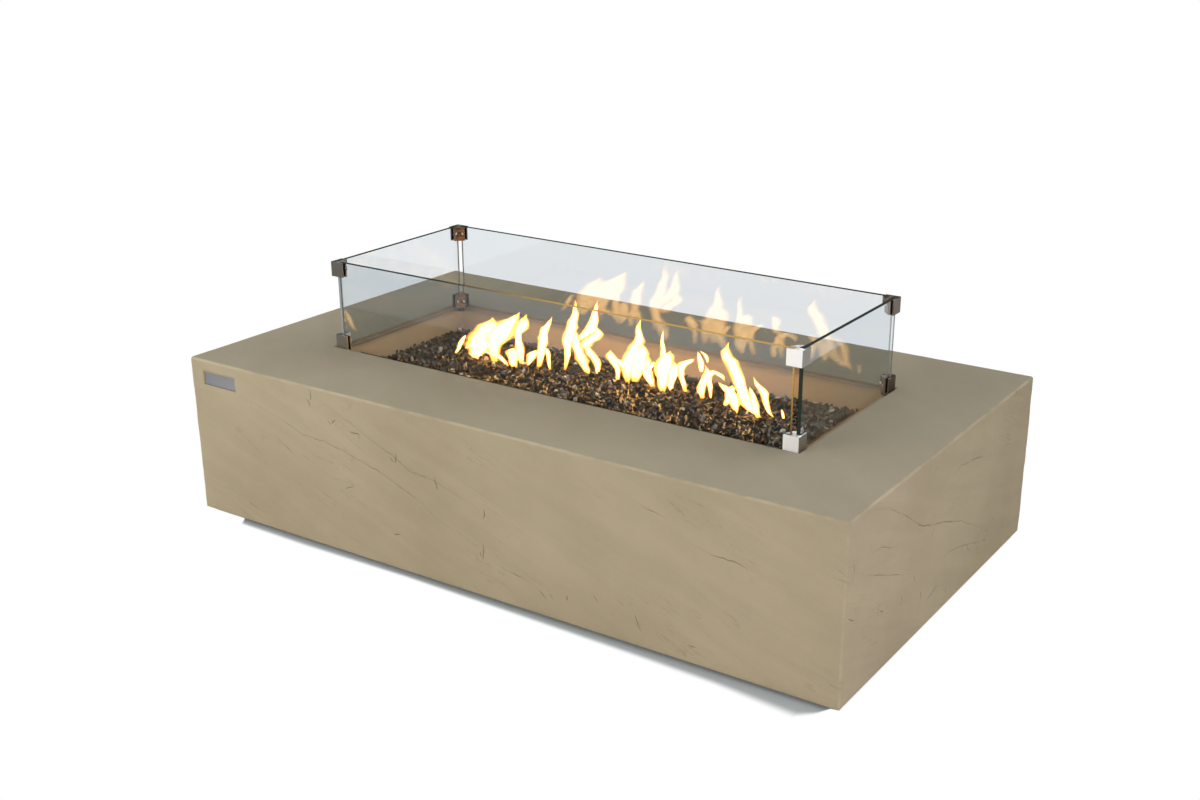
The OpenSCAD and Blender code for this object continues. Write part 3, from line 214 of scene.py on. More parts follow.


# The body: one hollow casting in sand-coloured glass-fibre concrete. It is made face down in a rubber mould
# taken from split slate, so its sides show shallow ledges, hairline clefts and short nicks. Its top, which is
# trowelled, is smoother, and its colour is set darker and greyer than the sides'.
half = (cad_high - cad_low) * 500
foot_z, table_z = (1000 * v.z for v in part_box("concrete_body"))
mouth_x, mouth_y = 569.0, 216.0
arris = 6.0
skin_step = 7.0
near_wall = 8.0
side_rows, top_rows = 48, 32
layer_up = Vector((0.35, 0.35, 1.0)).normalized()
badge_box = [1000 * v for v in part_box("badge_plate")]
tray_box = [1000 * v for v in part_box("control_tray")]
tray_y = (tray_box[0].y + tray_box[1].y) / 2


def ledge_depth(point, upward):
    # How far in mm the cast skin lies inside the box at this point: split layers give flat steps. Round the
    # controls and the badge the mould is plain.
    if point.x < -half.x + near_wall and abs(point.y - tray_y) < 125 and 105 < point.z < 245:
        return 0.25
    if point.y < -half.y + near_wall and point.x < badge_box[1].x + 12 and point.z > badge_box[0].z - 12:
        return 0.25
    across = point.dot(layer_up)
    broad = noise.noise(Vector((point.x / 330, point.y / 330, across / 130)))
    split = 3.0 * noise.fractal(Vector((point.x / 240, point.y / 240, across / 30)), 0.9, 2.0, 4)
    part = min(1.0, max(0.0, (split - math.floor(split) - 0.3) / 0.4))
    ledge = math.floor(split) + part * part * (3 - 2 * part)
    rough = noise.noise(Vector((point.x / 26, point.y / 26, point.z / 26)))
    full = 0.75 + 0.45 * broad + 0.28 * ledge + 0.12 * rough
    return min(1.8, max(0.2, full * (1.0 - 0.75 * upward)))


skin = []
corner_x, corner_y = half.x - arris, half.y - arris
for turn, (cx, cy) in enumerate(((1, -1), (1, 1), (-1, 1), (-1, -1))):
    for k in range(4):
        angle = math.pi / 2 * (turn - 1 + k / 3)
        skin.append((cx * corner_x + arris * math.cos(angle), cy * corner_y + arris * math.sin(angle),
                     math.cos(angle), math.sin(angle)))
    length = 2 * (corner_y if turn % 2 == 0 else corner_x)
    ux, uy = ((0, 1), (-1, 0), (0, -1), (1, 0))[turn]
    count = int(length / skin_step)
    for k in range(1, count):
        skin.append((cx * corner_x + arris * uy + ux * length * k / count,
                     cy * corner_y - arris * ux + uy * length * k / count, uy, -ux))

# The skin's rows rise from 6 mm under the casting, turn over the arris and end 13 mm inside the bowl
lowest = foot_z - 6
rows = [(0.0, lowest + k * (table_z - arris - foot_z + 6) / side_rows, 0.0) for k in range(side_rows + 1)]
rows += [(0.0, 0.0, angle) for angle in (0.4, 0.8, 1.2)]
rows += [(k / top_rows, table_z, math.pi / 2) for k in range(top_rows + 1)]
inner_x, inner_y = (mouth_x - 13) / corner_x, (mouth_y - 13) / corner_y
verts = []
for slide, level, angle in rows:
    for px, py, nx, ny in skin:
        inward = arris * (1 - math.cos(angle))
        x, y = px - nx * inward, py - ny * inward
        z = level if angle in (0.0, math.pi / 2) else table_z - arris * (1 - math.sin(angle))
        x, y = x * (1 - slide + slide * inner_x), y * (1 - slide + slide * inner_y)
        out = Vector((nx * math.cos(angle), ny * math.cos(angle), math.sin(angle)))
        spot = Vector((x, y, z))
        wear_and_highlight = 0.5 * max(0.0, noise.noise(spot / 24)) if 0.0 < angle < 1.5 else 0.0
        verts.append((spot - out * (0.5 if slide > 0.99 else ledge_depth(spot, out.z) + wear_and_highlight)) / 1000)
around = len(skin)
faces = [(r * around + k, r * around + (k + 1) % around, (r + 1) * around + (k + 1) % around,
          (r + 1) * around + k) for r in range(len(rows) - 1) for k in range(around)]
faces.append(tuple(reversed(range(around))))
faces.append(tuple(range((len(rows) - 1) * around, len(rows) * around)))
for k in range(around):
    verts[k].z = lowest / 1000
skin_mesh = bpy.data.meshes.new("slate_skin")
skin_mesh.from_pydata(verts, [], faces)
slate_skin = link_mesh("slate_skin", skin_mesh)

# Clefts and nicks on each wall: the points along each mark in mm (along the wall, height above the floor)
clefts = {
    "front": [[(-646, 301), (-589, 287), (-526, 274), (-487, 263), (-450, 249), (-392, 247), (-330, 235),
        (-251, 216), (-198, 196), (-140, 173), (-95, 142), (-44, 131), (8, 108)], [(-410, 338), (-366, 321),
        (-329, 307), (-290, 292), (-244, 270), (-206, 256), (-165, 233), (-104, 228), (-51, 212),
        (-12, 199), (15, 188)], [(-719, 71), (-656, 67), (-609, 46), (-574, 42)],
        [(-534, 227), (-507, 213), (-479, 199)], [(47, 88), (66, 83), (102, 78), (140, 66)],
        [(373, 291), (405, 286), (431, 279)], [(477, 243), (521, 234), (567, 234), (610, 221)]],
    "right": [[(-400, 345), (-370, 352), (-285, 329), (-205, 285), (-128, 236), (-63, 214), (-23, 204),
        (78, 168), (161, 126), (250, 76)], [(-405, 257), (-356, 232), (-264, 194), (-167, 156)],
        [(-351, 268), (-299, 262), (-241, 237)], [(-7, 125), (65, 116), (143, 95), (226, 67)],
        [(-15, 277), (51, 292), (126, 281), (233, 255)]],
    "back": [[(-640, 300), (-540, 262), (-430, 240), (-330, 190), (-190, 150), (-60, 132)],
        [(120, 310), (240, 280), (330, 230), (470, 196), (560, 150), (650, 128)]],
    "left": [[(-360, 320), (-280, 300), (-200, 270)], [(150, 290), (230, 240), (320, 205), (400, 150)],
        [(130, 110), (220, 86), (300, 70)]]}
nicks = {
    "front": [[(-422, 350), (-421, 340), (-422, 330)], [(-434, 331), (-428, 326), (-424, 315)],
        [(-377, 295), (-369, 288)], [(-366, 290), (-358, 301)],
        [(-319, 284), (-306, 283), (-296, 284), (-292, 273)], [(-197, 264), (-199, 254), (-201, 243)],
        [(-213, 250), (-207, 244)], [(-101, 236), (-99, 225), (-94, 212)],
        [(-341, 155), (-331, 160), (-315, 166)], [(-214, 84), (-206, 88), (-199, 89)],
        [(14, 124), (15, 108), (12, 90)], [(6, 104), (9, 95)], [(19, 198), (21, 188), (18, 177)],
        [(362, 72), (368, 58), (377, 41)], [(148, 62), (163, 47)], [(172, 62), (178, 55)],
        [(211, 67), (211, 59)], [(273, 85), (279, 77)], [(476, 45), (491, 45)]],
    "right": [[(-413, 277), (-409, 261), (-416, 243)], [(-302, 152), (-299, 141), (-302, 132)],
        [(-201, 126), (-195, 115), (-200, 107)], [(-109, 97), (-104, 83), (-108, 72)],
        [(-66, 209), (-70, 201), (-79, 194)], [(-195, 279), (-200, 268)], [(-148, 146), (-141, 131)],
        [(20, 52), (22, 36), (10, 24)], [(-423, 180), (-410, 171), (-396, 164)],
        [(-78, 64), (-52, 68), (-26, 73)], [(123, 98), (131, 82)], [(-289, 134), (-279, 131)]],
    "back": [[(-431, 230), (-428, 210), (-433, 196)], [(-192, 146), (-186, 128)], [(329, 226), (334, 204)],
        [(560, 146), (566, 126)]],
    "left": [[(-281, 296), (-276, 276)], [(231, 236), (236, 214), (233, 206)], [(318, 200), (310, 186)]]}
walls = {"front": (Vector((1, 0, 0)), Vector((0, -1, 0)), half.y),
         "right": (Vector((0, 1, 0)), Vector((1, 0, 0)), half.x),
         "back": (Vector((1, 0, 0)), Vector((0, 1, 0)), half.y),
         "left": (Vector((0, 1, 0)), Vector((-1, 0, 0)), half.x)}


def close_tube(form, rings):
    # Faces between neighbouring rings of points, and a cap on each end
    for one, two in zip(rings, rings[1:]):
        for k in range(len(one)):
            n = (k + 1) % len(one)
            form.faces.new((one[k], one[n], two[n], two[k]))
    form.faces.new(list(reversed(rings[0])))
    form.faces.new(rings[-1])


def link_form(name, form):
    mesh = bpy.data.meshes.new(name)
    form.to_mesh(mesh)
    form.free()
    return link_mesh(name, mesh)


def v_cuts(name, marks, width, depth, wander):
    # Closed V-shaped blades along the marks, proud of the wall, which the casting is then cut with
    proud = 0.6
    form = bmesh.new()
    drawn = [(wall_name, line) for wall_name, lines in marks.items() for line in lines]
    for order, (wall_name, marked) in enumerate(drawn):
        along, out, reach = walls[wall_name]
        points = []
        for (a0, z0), (a1, z1) in zip(marked, marked[1:]):
            steps = max(1, int(math.dist((a0, z0), (a1, z1)) / 4))
            points += [(a0 + (a1 - a0) * k / steps, z0 + (z1 - z0) * k / steps) for k in range(steps)]
        points.append(marked[-1])
        stations = []
        for k, (a, z) in enumerate(points):
            a2, z2 = points[min(k + 1, len(points) - 1)]
            a1, z1 = points[max(k - 1, 0)]
            span = math.dist((a1, z1), (a2, z2))
            cross = (-(z2 - z1) / span, (a2 - a1) / span)
            shake = wander * noise.noise(Vector((a / 9, z / 9, order * 7.3)))
            centre = along * (a + cross[0] * shake) + Vector((0, 0, z + cross[1] * shake)) + out * reach
            taper = min(1.0, 0.12 + 0.9 * math.sin(math.pi * (k + 0.4) / (len(points) - 0.2)))
            local = taper * (0.75 + 0.5 * noise.noise(Vector((a / 31, z / 31, order * 3.1))))
            inset = ledge_depth(centre, 0.0)
            blade = local * depth
            spread = width * local * (blade + inset + proud) / blade / 2
            side = (along * cross[0] + Vector((0, 0, cross[1]))) * spread
            stations.append([form.verts.new((centre + side + out * proud) / 1000),
                             form.verts.new((centre - side + out * proud) / 1000),
                             form.verts.new((centre - out * (inset + blade)) / 1000)])
        close_tube(form, stations)
    bmesh.ops.recalc_face_normals(form, faces=form.faces)
    return link_form(name, form)


def merged_copy(node, flat_within=0.0):
    # The node's mesh with its doubled points joined, and faces within so many degrees made whole
    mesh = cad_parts[node].data.copy()
    form = bmesh.new()
    form.from_mesh(mesh)
    bmesh.ops.remove_doubles(form, verts=form.verts, dist=0.00002)
    if flat_within:
        limit = math.radians(flat_within)
        bmesh.ops.dissolve_limit(form, angle_limit=limit, verts=form.verts, edges=form.edges)
    form.to_mesh(mesh)
    form.free()
    mesh.materials.clear()
    return mesh


def baked(source, name):
    # The result of the modifiers as a plain piece, with the object that carried them removed
    bpy.context.view_layer.update()
    mesh = bpy.data.meshes.new_from_object(source.evaluated_get(bpy.context.evaluated_depsgraph_get()))
    bpy.data.objects.remove(source)
    mesh.name = name
    return link_mesh(name, mesh)


casting = link_mesh("concrete_casting", merged_copy("concrete_body"))
tools = [(slate_skin, "INTERSECT"), (v_cuts("cleft_blades", clefts, 2.3, 0.8, 1.8), "DIFFERENCE"),
         (v_cuts("nick_blades", nicks, 3.0, 1.8, 0.9), "DIFFERENCE")]
for tool, operation in tools:
    cut = casting.modifiers.new(tool.name, "BOOLEAN")
    cut.operation = operation
    cut.object = tool
    cut.solver = "MANIFOLD"
casting = baked(casting, "concrete_casting")
cast_mesh = casting.data
for tool, operation in tools:
    bpy.data.objects.remove(tool)
cut_in, sunk, arris_highlight = [], [], []
for vertex in cast_mesh.vertices:
    spot = vertex.co * 1000
    gaps = sorted((half.x - spot.x, half.x + spot.x, half.y - spot.y, half.y + spot.y, table_z - spot.z))
    depth = ledge_depth(spot, 1.0 if gaps[0] == table_z - spot.z else 0.0)
    on_side = gaps[0] < 4.0 and gaps[1] > 9.0 and spot.z < table_z - 9
    calm = spot.x < -half.x + near_wall and -140 < spot.y < 100
    calm = calm or spot.y < -half.y + near_wall and spot.x < badge_box[1].x + 12
    # Painted shade in the clefts and nicks: how far the point lies inside a cut
    cut_in.append(min(1.0, max(0.0, (gaps[0] - depth - 0.12) / 0.6)) if on_side and not calm else 0.0)
    # Painted shade in the recesses: how deep the point's ledge lies
    sunk.append(depth / 1.8)
    # Painted highlight along the arrises, patchy like wear
    near_arris = max(0.0, 1.0 - gaps[1] / arris)
    patchy = 0.6 + 1.1 * noise.noise(spot / 55) + 0.5 * noise.noise(spot / 14)
    arris_highlight.append(min(1.0, 1.5 * near_arris * max(0.0, patchy)))
for name, values in (("cut", cut_in), ("sunk", sunk), ("wear_and_highlight", arris_highlight)):
    cast_mesh.attributes.new(name, "FLOAT", "POINT").data.foreach_set("value", values)
cast_mesh.shade_smooth()
cast_mesh.set_sharp_from_angle(angle=math.radians(32))

# Cast concrete is matt and nearly one colour, with soft clouds, faint streaks along the layers and fine
# grains of sand
concrete, tree, shader = new_material("Sand-coloured cast concrete")
place = add(tree, "ShaderNodeTexCoord").outputs["Object"]
mm = add(tree, "ShaderNodeVectorMath", {0: place, 1: (1000.0, 1000.0, 1000.0)}, operation="MULTIPLY")
normal = add(tree, "ShaderNodeNewGeometry").outputs["True Normal"]
normal = add(tree, "ShaderNodeSeparateXYZ", {0: normal}).outputs["Z"]
upward = add(tree, "ShaderNodeMapRange", {"Value": normal, "From Min": 0.6, "From Max": 0.9})
# Slate splits along thin layers, tilted so that they fall towards the right on both visible sides
layers = add(tree, "ShaderNodeVectorRotate", {"Vector": mm, "Rotation": (0.33, -0.33, 0.0)},
             rotation_type="EULER_XYZ")
layers = add(tree, "ShaderNodeVectorMath", {0: layers, 1: (1 / 300, 1 / 300, 1 / 40)}, operation="MULTIPLY")
streaks = add(tree, "ShaderNodeTexNoise", {"Vector": layers, "Scale": 1.0, "Detail": 6.0,
              "Roughness": 0.55, "Distortion": 0.5})
cloud = add(tree, "ShaderNodeTexNoise", {"Vector": mm, "Scale": 1 / 420})
blotch = add(tree, "ShaderNodeTexNoise", {"Vector": mm, "Scale": 1 / 60, "Detail": 4.0, "Roughness": 0.6})
grain = add(tree, "ShaderNodeTexNoise", {"Vector": mm, "Scale": 1 / 2.5, "Detail": 3.0, "Roughness": 0.7})
side = add(tree, "ShaderNodeValToRGB", {"Fac": cloud})
set_stops(side, [(0.35, "#A99A7D"), (0.65, "#B3A487")])
# The top is coloured darker and greyer than the sides
top = add(tree, "ShaderNodeValToRGB", {"Fac": cloud})
set_stops(top, [(0.35, "#99907A"), (0.65, "#9E9580")])
tone = add(tree, "ShaderNodeMix", {"Factor": upward, "A": side, "B": top}, data_type="RGBA")
streak = add(tree, "ShaderNodeMapRange", {"Value": streaks, "From Min": 0.35, "From Max": 0.65,
             "To Min": 0.965, "To Max": 1.025})
mottle = add(tree, "ShaderNodeMapRange", {"Value": blotch, "From Min": 0.3, "From Max": 0.7,
             "To Min": 0.98, "To Max": 1.02})
speck = add(tree, "ShaderNodeMapRange", {"Value": grain, "From Min": 0.25, "From Max": 0.75,
            "To Min": 0.96, "To Max": 1.04})
# Hairlines where one layer ends: the level lines of the streaks, in some places only
level = add(tree, "ShaderNodeMath", {0: streaks, 1: 13.0}, operation="MULTIPLY")
level = add(tree, "ShaderNodeMath", {0: level, 1: 1.0}, operation="PINGPONG")
hair = add(tree, "ShaderNodeMapRange", {"Value": level, "From Max": 0.09, "To Min": 1.0, "To Max": 0.0})
some = add(tree, "ShaderNodeTexNoise", {"Vector": mm, "Scale": 1 / 130, "Detail": 3.0})
some = add(tree, "ShaderNodeMapRange", {"Value": some, "From Min": 0.5, "From Max": 0.64})
cast_side = add(tree, "ShaderNodeMath", {0: 1.0, 1: upward}, operation="SUBTRACT")
for part in (some, cast_side):
    hair = add(tree, "ShaderNodeMath", {0: hair, 1: part}, operation="MULTIPLY")
# Painted shade: the deeper the ledge, the darker the colour
sunk_in = add(tree, "ShaderNodeAttribute", attribute_name="sunk").outputs["Fac"]
hollow = add(tree, "ShaderNodeMapRange", {"Value": sunk_in, "To Min": 1.025, "To Max": 0.965})
shade = streak
for part in (mottle, speck, hollow):
    shade = add(tree, "ShaderNodeMath", {0: shade, 1: part}, operation="MULTIPLY")
colour = add(tree, "ShaderNodeVectorMath", {0: tone, 1: shade}, operation="MULTIPLY")
# Painted highlight: every arris is paler in patches, like wear. Painted firelight: the walls of the bowl are
# coloured warm orange-brown, as the flames would light them
painted_arris_highlight = add(tree, "ShaderNodeAttribute", attribute_name="wear_and_highlight").outputs["Fac"]
painted_arris_highlight = add(tree, "ShaderNodeMath", {0: painted_arris_highlight, 1: 0.45}, operation="MULTIPLY")
colour = add(tree, "ShaderNodeMix", {"Factor": painted_arris_highlight, "A": colour, "B": srgb("#D2C5A4")}, data_type="RGBA")
inside = add(tree, "ShaderNodeVectorMath", {0: place}, operation="ABSOLUTE")
inside = add(tree, "ShaderNodeSeparateXYZ", {0: inside}).outputs
in_bowl = add(tree, "ShaderNodeMath", {0: inside["X"], 1: mouth_x / 1000}, operation="LESS_THAN")
in_y = add(tree, "ShaderNodeMath", {0: inside["Y"], 1: mouth_y / 1000}, operation="LESS_THAN")
for part in (in_y, 0.6):
    in_bowl = add(tree, "ShaderNodeMath", {0: in_bowl, 1: part}, operation="MULTIPLY")
# Painted firelight: the bowl's walls are coloured warm orange-brown
painted_firelight = srgb("#B1936A")
colour = add(tree, "ShaderNodeMix", {"Factor": in_bowl, "A": colour, "B": painted_firelight}, data_type="RGBA")
# Painted shade: the clefts and nicks are coloured dark inside, together with the hairlines
cut = add(tree, "ShaderNodeAttribute", attribute_name="cut").outputs["Fac"]
dark = add(tree, "ShaderNodeMath", {0: hair, 1: 0.32, 2: cut}, operation="MULTIPLY_ADD", use_clamp=True)
colour = add(tree, "ShaderNodeMix", {"Factor": dark, "A": colour, "B": srgb("#6B5D45")}, data_type="RGBA")
depth = add(tree, "ShaderNodeMapRange", {"Value": upward, "To Min": 1.0, "To Max": 0.2})
relief = add(tree, "ShaderNodeMath", {0: streaks, 1: depth}, operation="MULTIPLY")
relief = add(tree, "ShaderNodeMath", {0: hair, 1: -0.05, 2: relief}, operation="MULTIPLY_ADD")
bump = add(tree, "ShaderNodeBump", {"Strength": 0.4, "Distance": 0.004, "Height": relief})
fine = add(tree, "ShaderNodeBump", {"Strength": 0.3, "Distance": 0.0005, "Height": grain, "Normal": bump})
plug(shader, {"Base Color": colour, "Roughness": 0.8, "Specular IOR Level": 0.3, "Normal": fine})
cast_mesh.materials.clear()
cast_mesh.materials.append(concrete)
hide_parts("concrete_body")
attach(casting, "base")


# The badge: a plain sheet of stainless steel with a fine lengthwise brush, bonded in a pocket at the front
# left of the casting.
def brushed_steel(name, code, roughness, line_mm, along):
    # Brushing leaves parallel scratches, 0.05 mm wide in the real sheet and drawn wider here to show
    material, tree, shader = new_material(name)
    place = add(tree, "ShaderNodeTexCoord").outputs["Object"]
    across = [1000 / line_mm] * 3
    across["XYZ".index(along)] = 1000 / (line_mm * 60)
    lines = add(tree, "ShaderNodeVectorMath", {0: place, 1: across}, operation="MULTIPLY")
    scratch = add(tree, "ShaderNodeTexNoise", {"Vector": lines, "Scale": 1.0, "Detail": 3.0})
    stain_and_reflection = add(tree, "ShaderNodeTexNoise", {"Vector": place, "Scale": 22.0, "Detail": 3.0})
    polish = add(tree, "ShaderNodeMapRange", {"Value": stain_and_reflection, "To Min": roughness * 0.8,
                 "To Max": roughness * 1.25})
    bump = add(tree, "ShaderNodeBump", {"Strength": 0.12, "Distance": 0.0002, "Height": scratch})
    plug(shader, {"Base Color": srgb(code), "Metallic": 1.0, "Roughness": polish, "Normal": bump})
    return material


def dress(material, *nodes):
    for node in nodes:
        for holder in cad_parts[node].material_slots:
            holder.material = material


dress(brushed_steel("Brushed stainless badge sheet", "#BDBDC0", 0.45, 0.4, "X"), "badge_plate")


# The burner pan and the straps over the tube: folded from 1.5 mm stainless sheet. Its mill finish is grey
# and dull, with faint rolling lines. The pan hangs by its flange and the straps are screwed to its floor.
folded = brushed_steel("Mill-finish stainless sheet", "#B0AEA9", 0.36, 0.6, "X")
dress(folded, "burner_pan", "burner_saddles")


# The burner tube and its riser: stainless pipe, the tube drilled in two rows and set on the riser. The flames
# have tinted them straw and brown in clouds 70 mm wide, and the pilot's bracket and thermocouple with them.
def mottled(name, per_metre, detail, colour, gloss, metallic=0.0, grain=0.0):
    # A plain finish with so many blotches to the metre. They vary the colour where it is given as stops and
    # the roughness where it is given as a range. Grain is the strength of a relief 0.3 mm deep.
    material, tree, shader = new_material(name)
    place = add(tree, "ShaderNodeTexCoord").outputs["Object"]
    blotch = add(tree, "ShaderNodeTexNoise", {"Vector": place, "Scale": per_metre, "Detail": detail})
    if isinstance(colour, str):
        tint = srgb(colour)
    else:
        tint = add(tree, "ShaderNodeValToRGB", {"Fac": blotch})
        set_stops(tint, colour)
    if isinstance(gloss, tuple):
        gloss = add(tree, "ShaderNodeMapRange", {"Value": blotch, "To Min": gloss[0], "To Max": gloss[1]})
    plug(shader, {"Base Color": tint, "Metallic": metallic, "Roughness": gloss})
    if grain:
        relief = add(tree, "ShaderNodeBump", {"Strength": grain, "Distance": 0.0003, "Height": blotch})
        plug(shader, {"Normal": relief})
    return material


tinted = mottled("Heat-tinted stainless pipe", 14.0, 3.0, [(0.3, "#6E5B46"), (0.5, "#8F7650"),
                 (0.7, "#8C8881")], 0.42, 1.0)
dress(tinted, "burner_tube", "burner_riser", "pilot_bracket", "thermocouple")


# Bolts, nuts and the stem: steel, turned or pressed and then zinc-plated. The plating is bright but a little
# uneven, so the glints are soft. The screws and nuts hold by their threads, and the stem slides in the plug.
plated = mottled("Bright zinc-plated steel", 180.0, 3.0, "#BDBCBA", (0.22, 0.42), 1.0)
dress(plated, "riser_locknuts", "valve_nut", "valve_stem", "igniter_nut", "foot_screws", "tray_screws",
      "bracket_screws")


# Gas fittings: turned from brass bar and screwed together. The brass is bright where spanners go and darker
# with tarnish between.
brass = mottled("Turned brass", 60.0, 4.0, [(0.35, "#A98F4C"), (0.65, "#CDB36B")], (0.2, 0.45), 1.0)
dress(brass, "air_mixer", "orifice_fitting", "hose_nuts", "line_nuts", "gas_inlet", "valve_body",
      "valve_plug", "foot_inserts", "pilot_burner")


# The pilot's spark electrode: a pin in an insulator of unglazed alumina, pressed and fired, that is pushed
# through the bracket. It looks chalky and off-white.
alumina = mottled("Unglazed alumina", 90.0, 3.0, [(0.35, "#CFC8B8"), (0.65, "#E6E1D6")], 0.75)
dress(alumina, "spark_electrode")


# The bed: crushed tempered glass in dark bronze, chips of 8 to 16 mm, heaped a little higher along the
# burner. They lie loose in the pan, bury the tube and stop at the mesh cage.
bed_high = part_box("fire_glass")[1]
cage_low, cage_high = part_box("pilot_cage")
chip_mm = 6.8
spacing_mm = 8.2
bed_bm = bmesh.new()
margin = 0.0075
half_x, half_y = bed_high.x - margin, bed_high.y - margin
count_x, count_y = 180, 62
# How far the heap falls to its edge, its top, how far out it stays level lengthwise, and how deep the
# surface lies under the chips
crown, heap_top, level_to, under_chips = 0.017, 0.320, 0.32, 0.003
rows = []
for j in range(count_y + 1):
    y = -half_y + 2 * half_y * j / count_y
    row = []
    for i in range(count_x + 1):
        x = -half_x + 2 * half_x * i / count_x
        fall_y = crown * (y / bed_high.y) ** 2
        fall_x = crown * 0.7 * max(0.0, (abs(x) - level_to) / (bed_high.x - level_to))
        row.append(bed_bm.verts.new((x, y, heap_top - max(fall_x, fall_y) - under_chips)))
    rows.append(row)
for j in range(count_y):
    for i in range(count_x):
        bed_bm.faces.new((rows[j][i], rows[j][i + 1], rows[j + 1][i + 1], rows[j + 1][i]))
bed = link_form("bed_surface", bed_bm)

# Broken glass is mirror-smooth on every face and rippled every 2 or 3 mm, so a chip is nearly black until it
# flashes with the fire. A few chips are painted pale as painted glints, and every reflection is tinted warm,
# a painted tint of firelight.
crushed, tree, shader = new_material("Crushed bronze glass")
lot = add(tree, "ShaderNodeAttribute", attribute_name="tint").outputs["Fac"]
tint = add(tree, "ShaderNodeValToRGB", {"Fac": lot})
set_stops(tint, [(0.0, "#0A0705"), (0.35, "#1C130C"), (0.65, "#342316"), (0.88, "#573E27"),
                 (0.95, "#6E6455"), (1.0, "#F4EEE4")])
place = add(tree, "ShaderNodeTexCoord").outputs["Object"]
ripple = add(tree, "ShaderNodeTexNoise", {"Vector": place, "Scale": 420.0, "Detail": 2.0})
bump = add(tree, "ShaderNodeBump", {"Strength": 0.5, "Distance": 0.0006, "Height": ripple})
plug(shader, {"Base Color": tint, "Normal": bump, "Roughness": 0.07, "IOR": 1.52, "Specular IOR Level": 0.8,
     "Specular Tint": srgb("#F2DDBB")})

heap = bpy.data.node_groups.new("Chips over a surface", "GeometryNodeTree")
heap.interface.new_socket("Surface", in_out="INPUT", socket_type="NodeSocketGeometry")
for name, kind, value in (("Spacing", "NodeSocketFloat", spacing_mm / 1000),
                          ("Chip radius", "NodeSocketFloat", chip_mm / 1000), ("Seed", "NodeSocketInt", 7)):
    heap.interface.new_socket(name, in_out="INPUT", socket_type=kind).default_value = value
heap.interface.new_socket("Chips", in_out="OUTPUT", socket_type="NodeSocketGeometry")
given = add(heap, "NodeGroupInput").outputs
scatter = add(heap, "GeometryNodeDistributePointsOnFaces", {"Mesh": given["Surface"],
              "Distance Min": given["Spacing"], "Density Max": 26000.0, "Seed": given["Seed"]},
              distribute_method="POISSON")
middle = (cage_low + cage_high) / 2
reach = (cage_high - cage_low) / 2 + Vector((0.004, 0.004, 0.0))
spot = add(heap, "GeometryNodeInputPosition")
spot = add(heap, "ShaderNodeVectorMath", {0: spot, 1: middle}, operation="SUBTRACT")
spot = add(heap, "ShaderNodeVectorMath", {0: spot}, operation="ABSOLUTE")
spot = add(heap, "ShaderNodeSeparateXYZ", {0: spot}).outputs
near_x = add(heap, "ShaderNodeMath", {0: spot["X"], 1: reach.x}, operation="LESS_THAN")
near_y = add(heap, "ShaderNodeMath", {0: spot["Y"], 1: reach.y}, operation="LESS_THAN")
in_cage = add(heap, "ShaderNodeMath", {0: near_x, 1: near_y}, operation="MULTIPLY")
kept = add(heap, "GeometryNodeDeleteGeometry", {"Geometry": scatter, "Selection": in_cage})
shard = add(heap, "GeometryNodeMeshIcoSphere")
turn = add(heap, "FunctionNodeRandomValue", {"Min": (0.0, 0.0, 0.0), "Max": (6.283, 6.283, 6.283),
           "Seed": given["Seed"]}, data_type="FLOAT_VECTOR")
stretch = add(heap, "FunctionNodeRandomValue", {"Min": (1.0, 0.6, 0.22), "Max": (1.9, 1.15, 0.5),
              "Seed": 21}, data_type="FLOAT_VECTOR")
sized = add(heap, "ShaderNodeVectorMath", {0: stretch, "Scale": given["Chip radius"]}, operation="SCALE")
placed = add(heap, "GeometryNodeInstanceOnPoints", {"Points": kept, "Instance": shard, "Rotation": turn,
             "Scale": sized})
lot = add(heap, "FunctionNodeRandomValue", {"Seed": 5})
marked = add(heap, "GeometryNodeStoreNamedAttribute", {"Geometry": placed, "Name": "tint", "Value": lot},
             domain="INSTANCE")
real = add(heap, "GeometryNodeRealizeInstances", {"Geometry": marked})
jag = add(heap, "FunctionNodeRandomValue", {"Min": (-0.32, -0.32, -0.32), "Max": (0.32, 0.32, 0.32),
          "Seed": 3}, data_type="FLOAT_VECTOR")
jag = add(heap, "ShaderNodeVectorMath", {0: jag, "Scale": given["Chip radius"]}, operation="SCALE")
broken = add(heap, "GeometryNodeSetPosition", {"Geometry": real, "Offset": jag})
under = add(heap, "GeometryNodeJoinGeometry", {0: given["Surface"]})
plug(under, {0: broken})
solid = add(heap, "GeometryNodeRealizeInstances", {"Geometry": under})
coated = add(heap, "GeometryNodeSetMaterial", {"Geometry": solid, "Material": crushed})
add(heap, "NodeGroupOutput", {"Chips": coated})

bed.modifiers.new("grow", "NODES").node_group = heap
chips = baked(bed, "crushed_glass_bed")
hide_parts("fire_glass")
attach(chips, "base")


# The cage over the pilot: woven from 1.6 mm stainless wire, folded and spot-welded. It stands on the pan's
# floor, and the fire has left a dark, dull scale on the wires.
wire = mottled("Scaled stainless wire", 160.0, 3.0, [(0.35, "#3A3430"), (0.65, "#75695C")], 0.5, 0.9)
dress(wire, "pilot_cage")


# The flames: burning gas, no part of the assembly that anyone could hold. Each tongue stands among the
# chips over the burner: a thin orange skin and a yellow one round a dense core, orange at its root and tip.
fire, tree, shader = new_material("Yellow gas flame")
hot = add(tree, "ShaderNodeAttribute", attribute_name="hotness").outputs["Fac"]
dense = add(tree, "ShaderNodeAttribute", attribute_name="dense").outputs["Fac"]
glow = add(tree, "ShaderNodeValToRGB", {"Fac": hot})
set_stops(glow, [(0.0, "#D06A18"), (0.3, "#E8902E"), (0.6, "#F6B044"), (1.0, "#FFD088")])
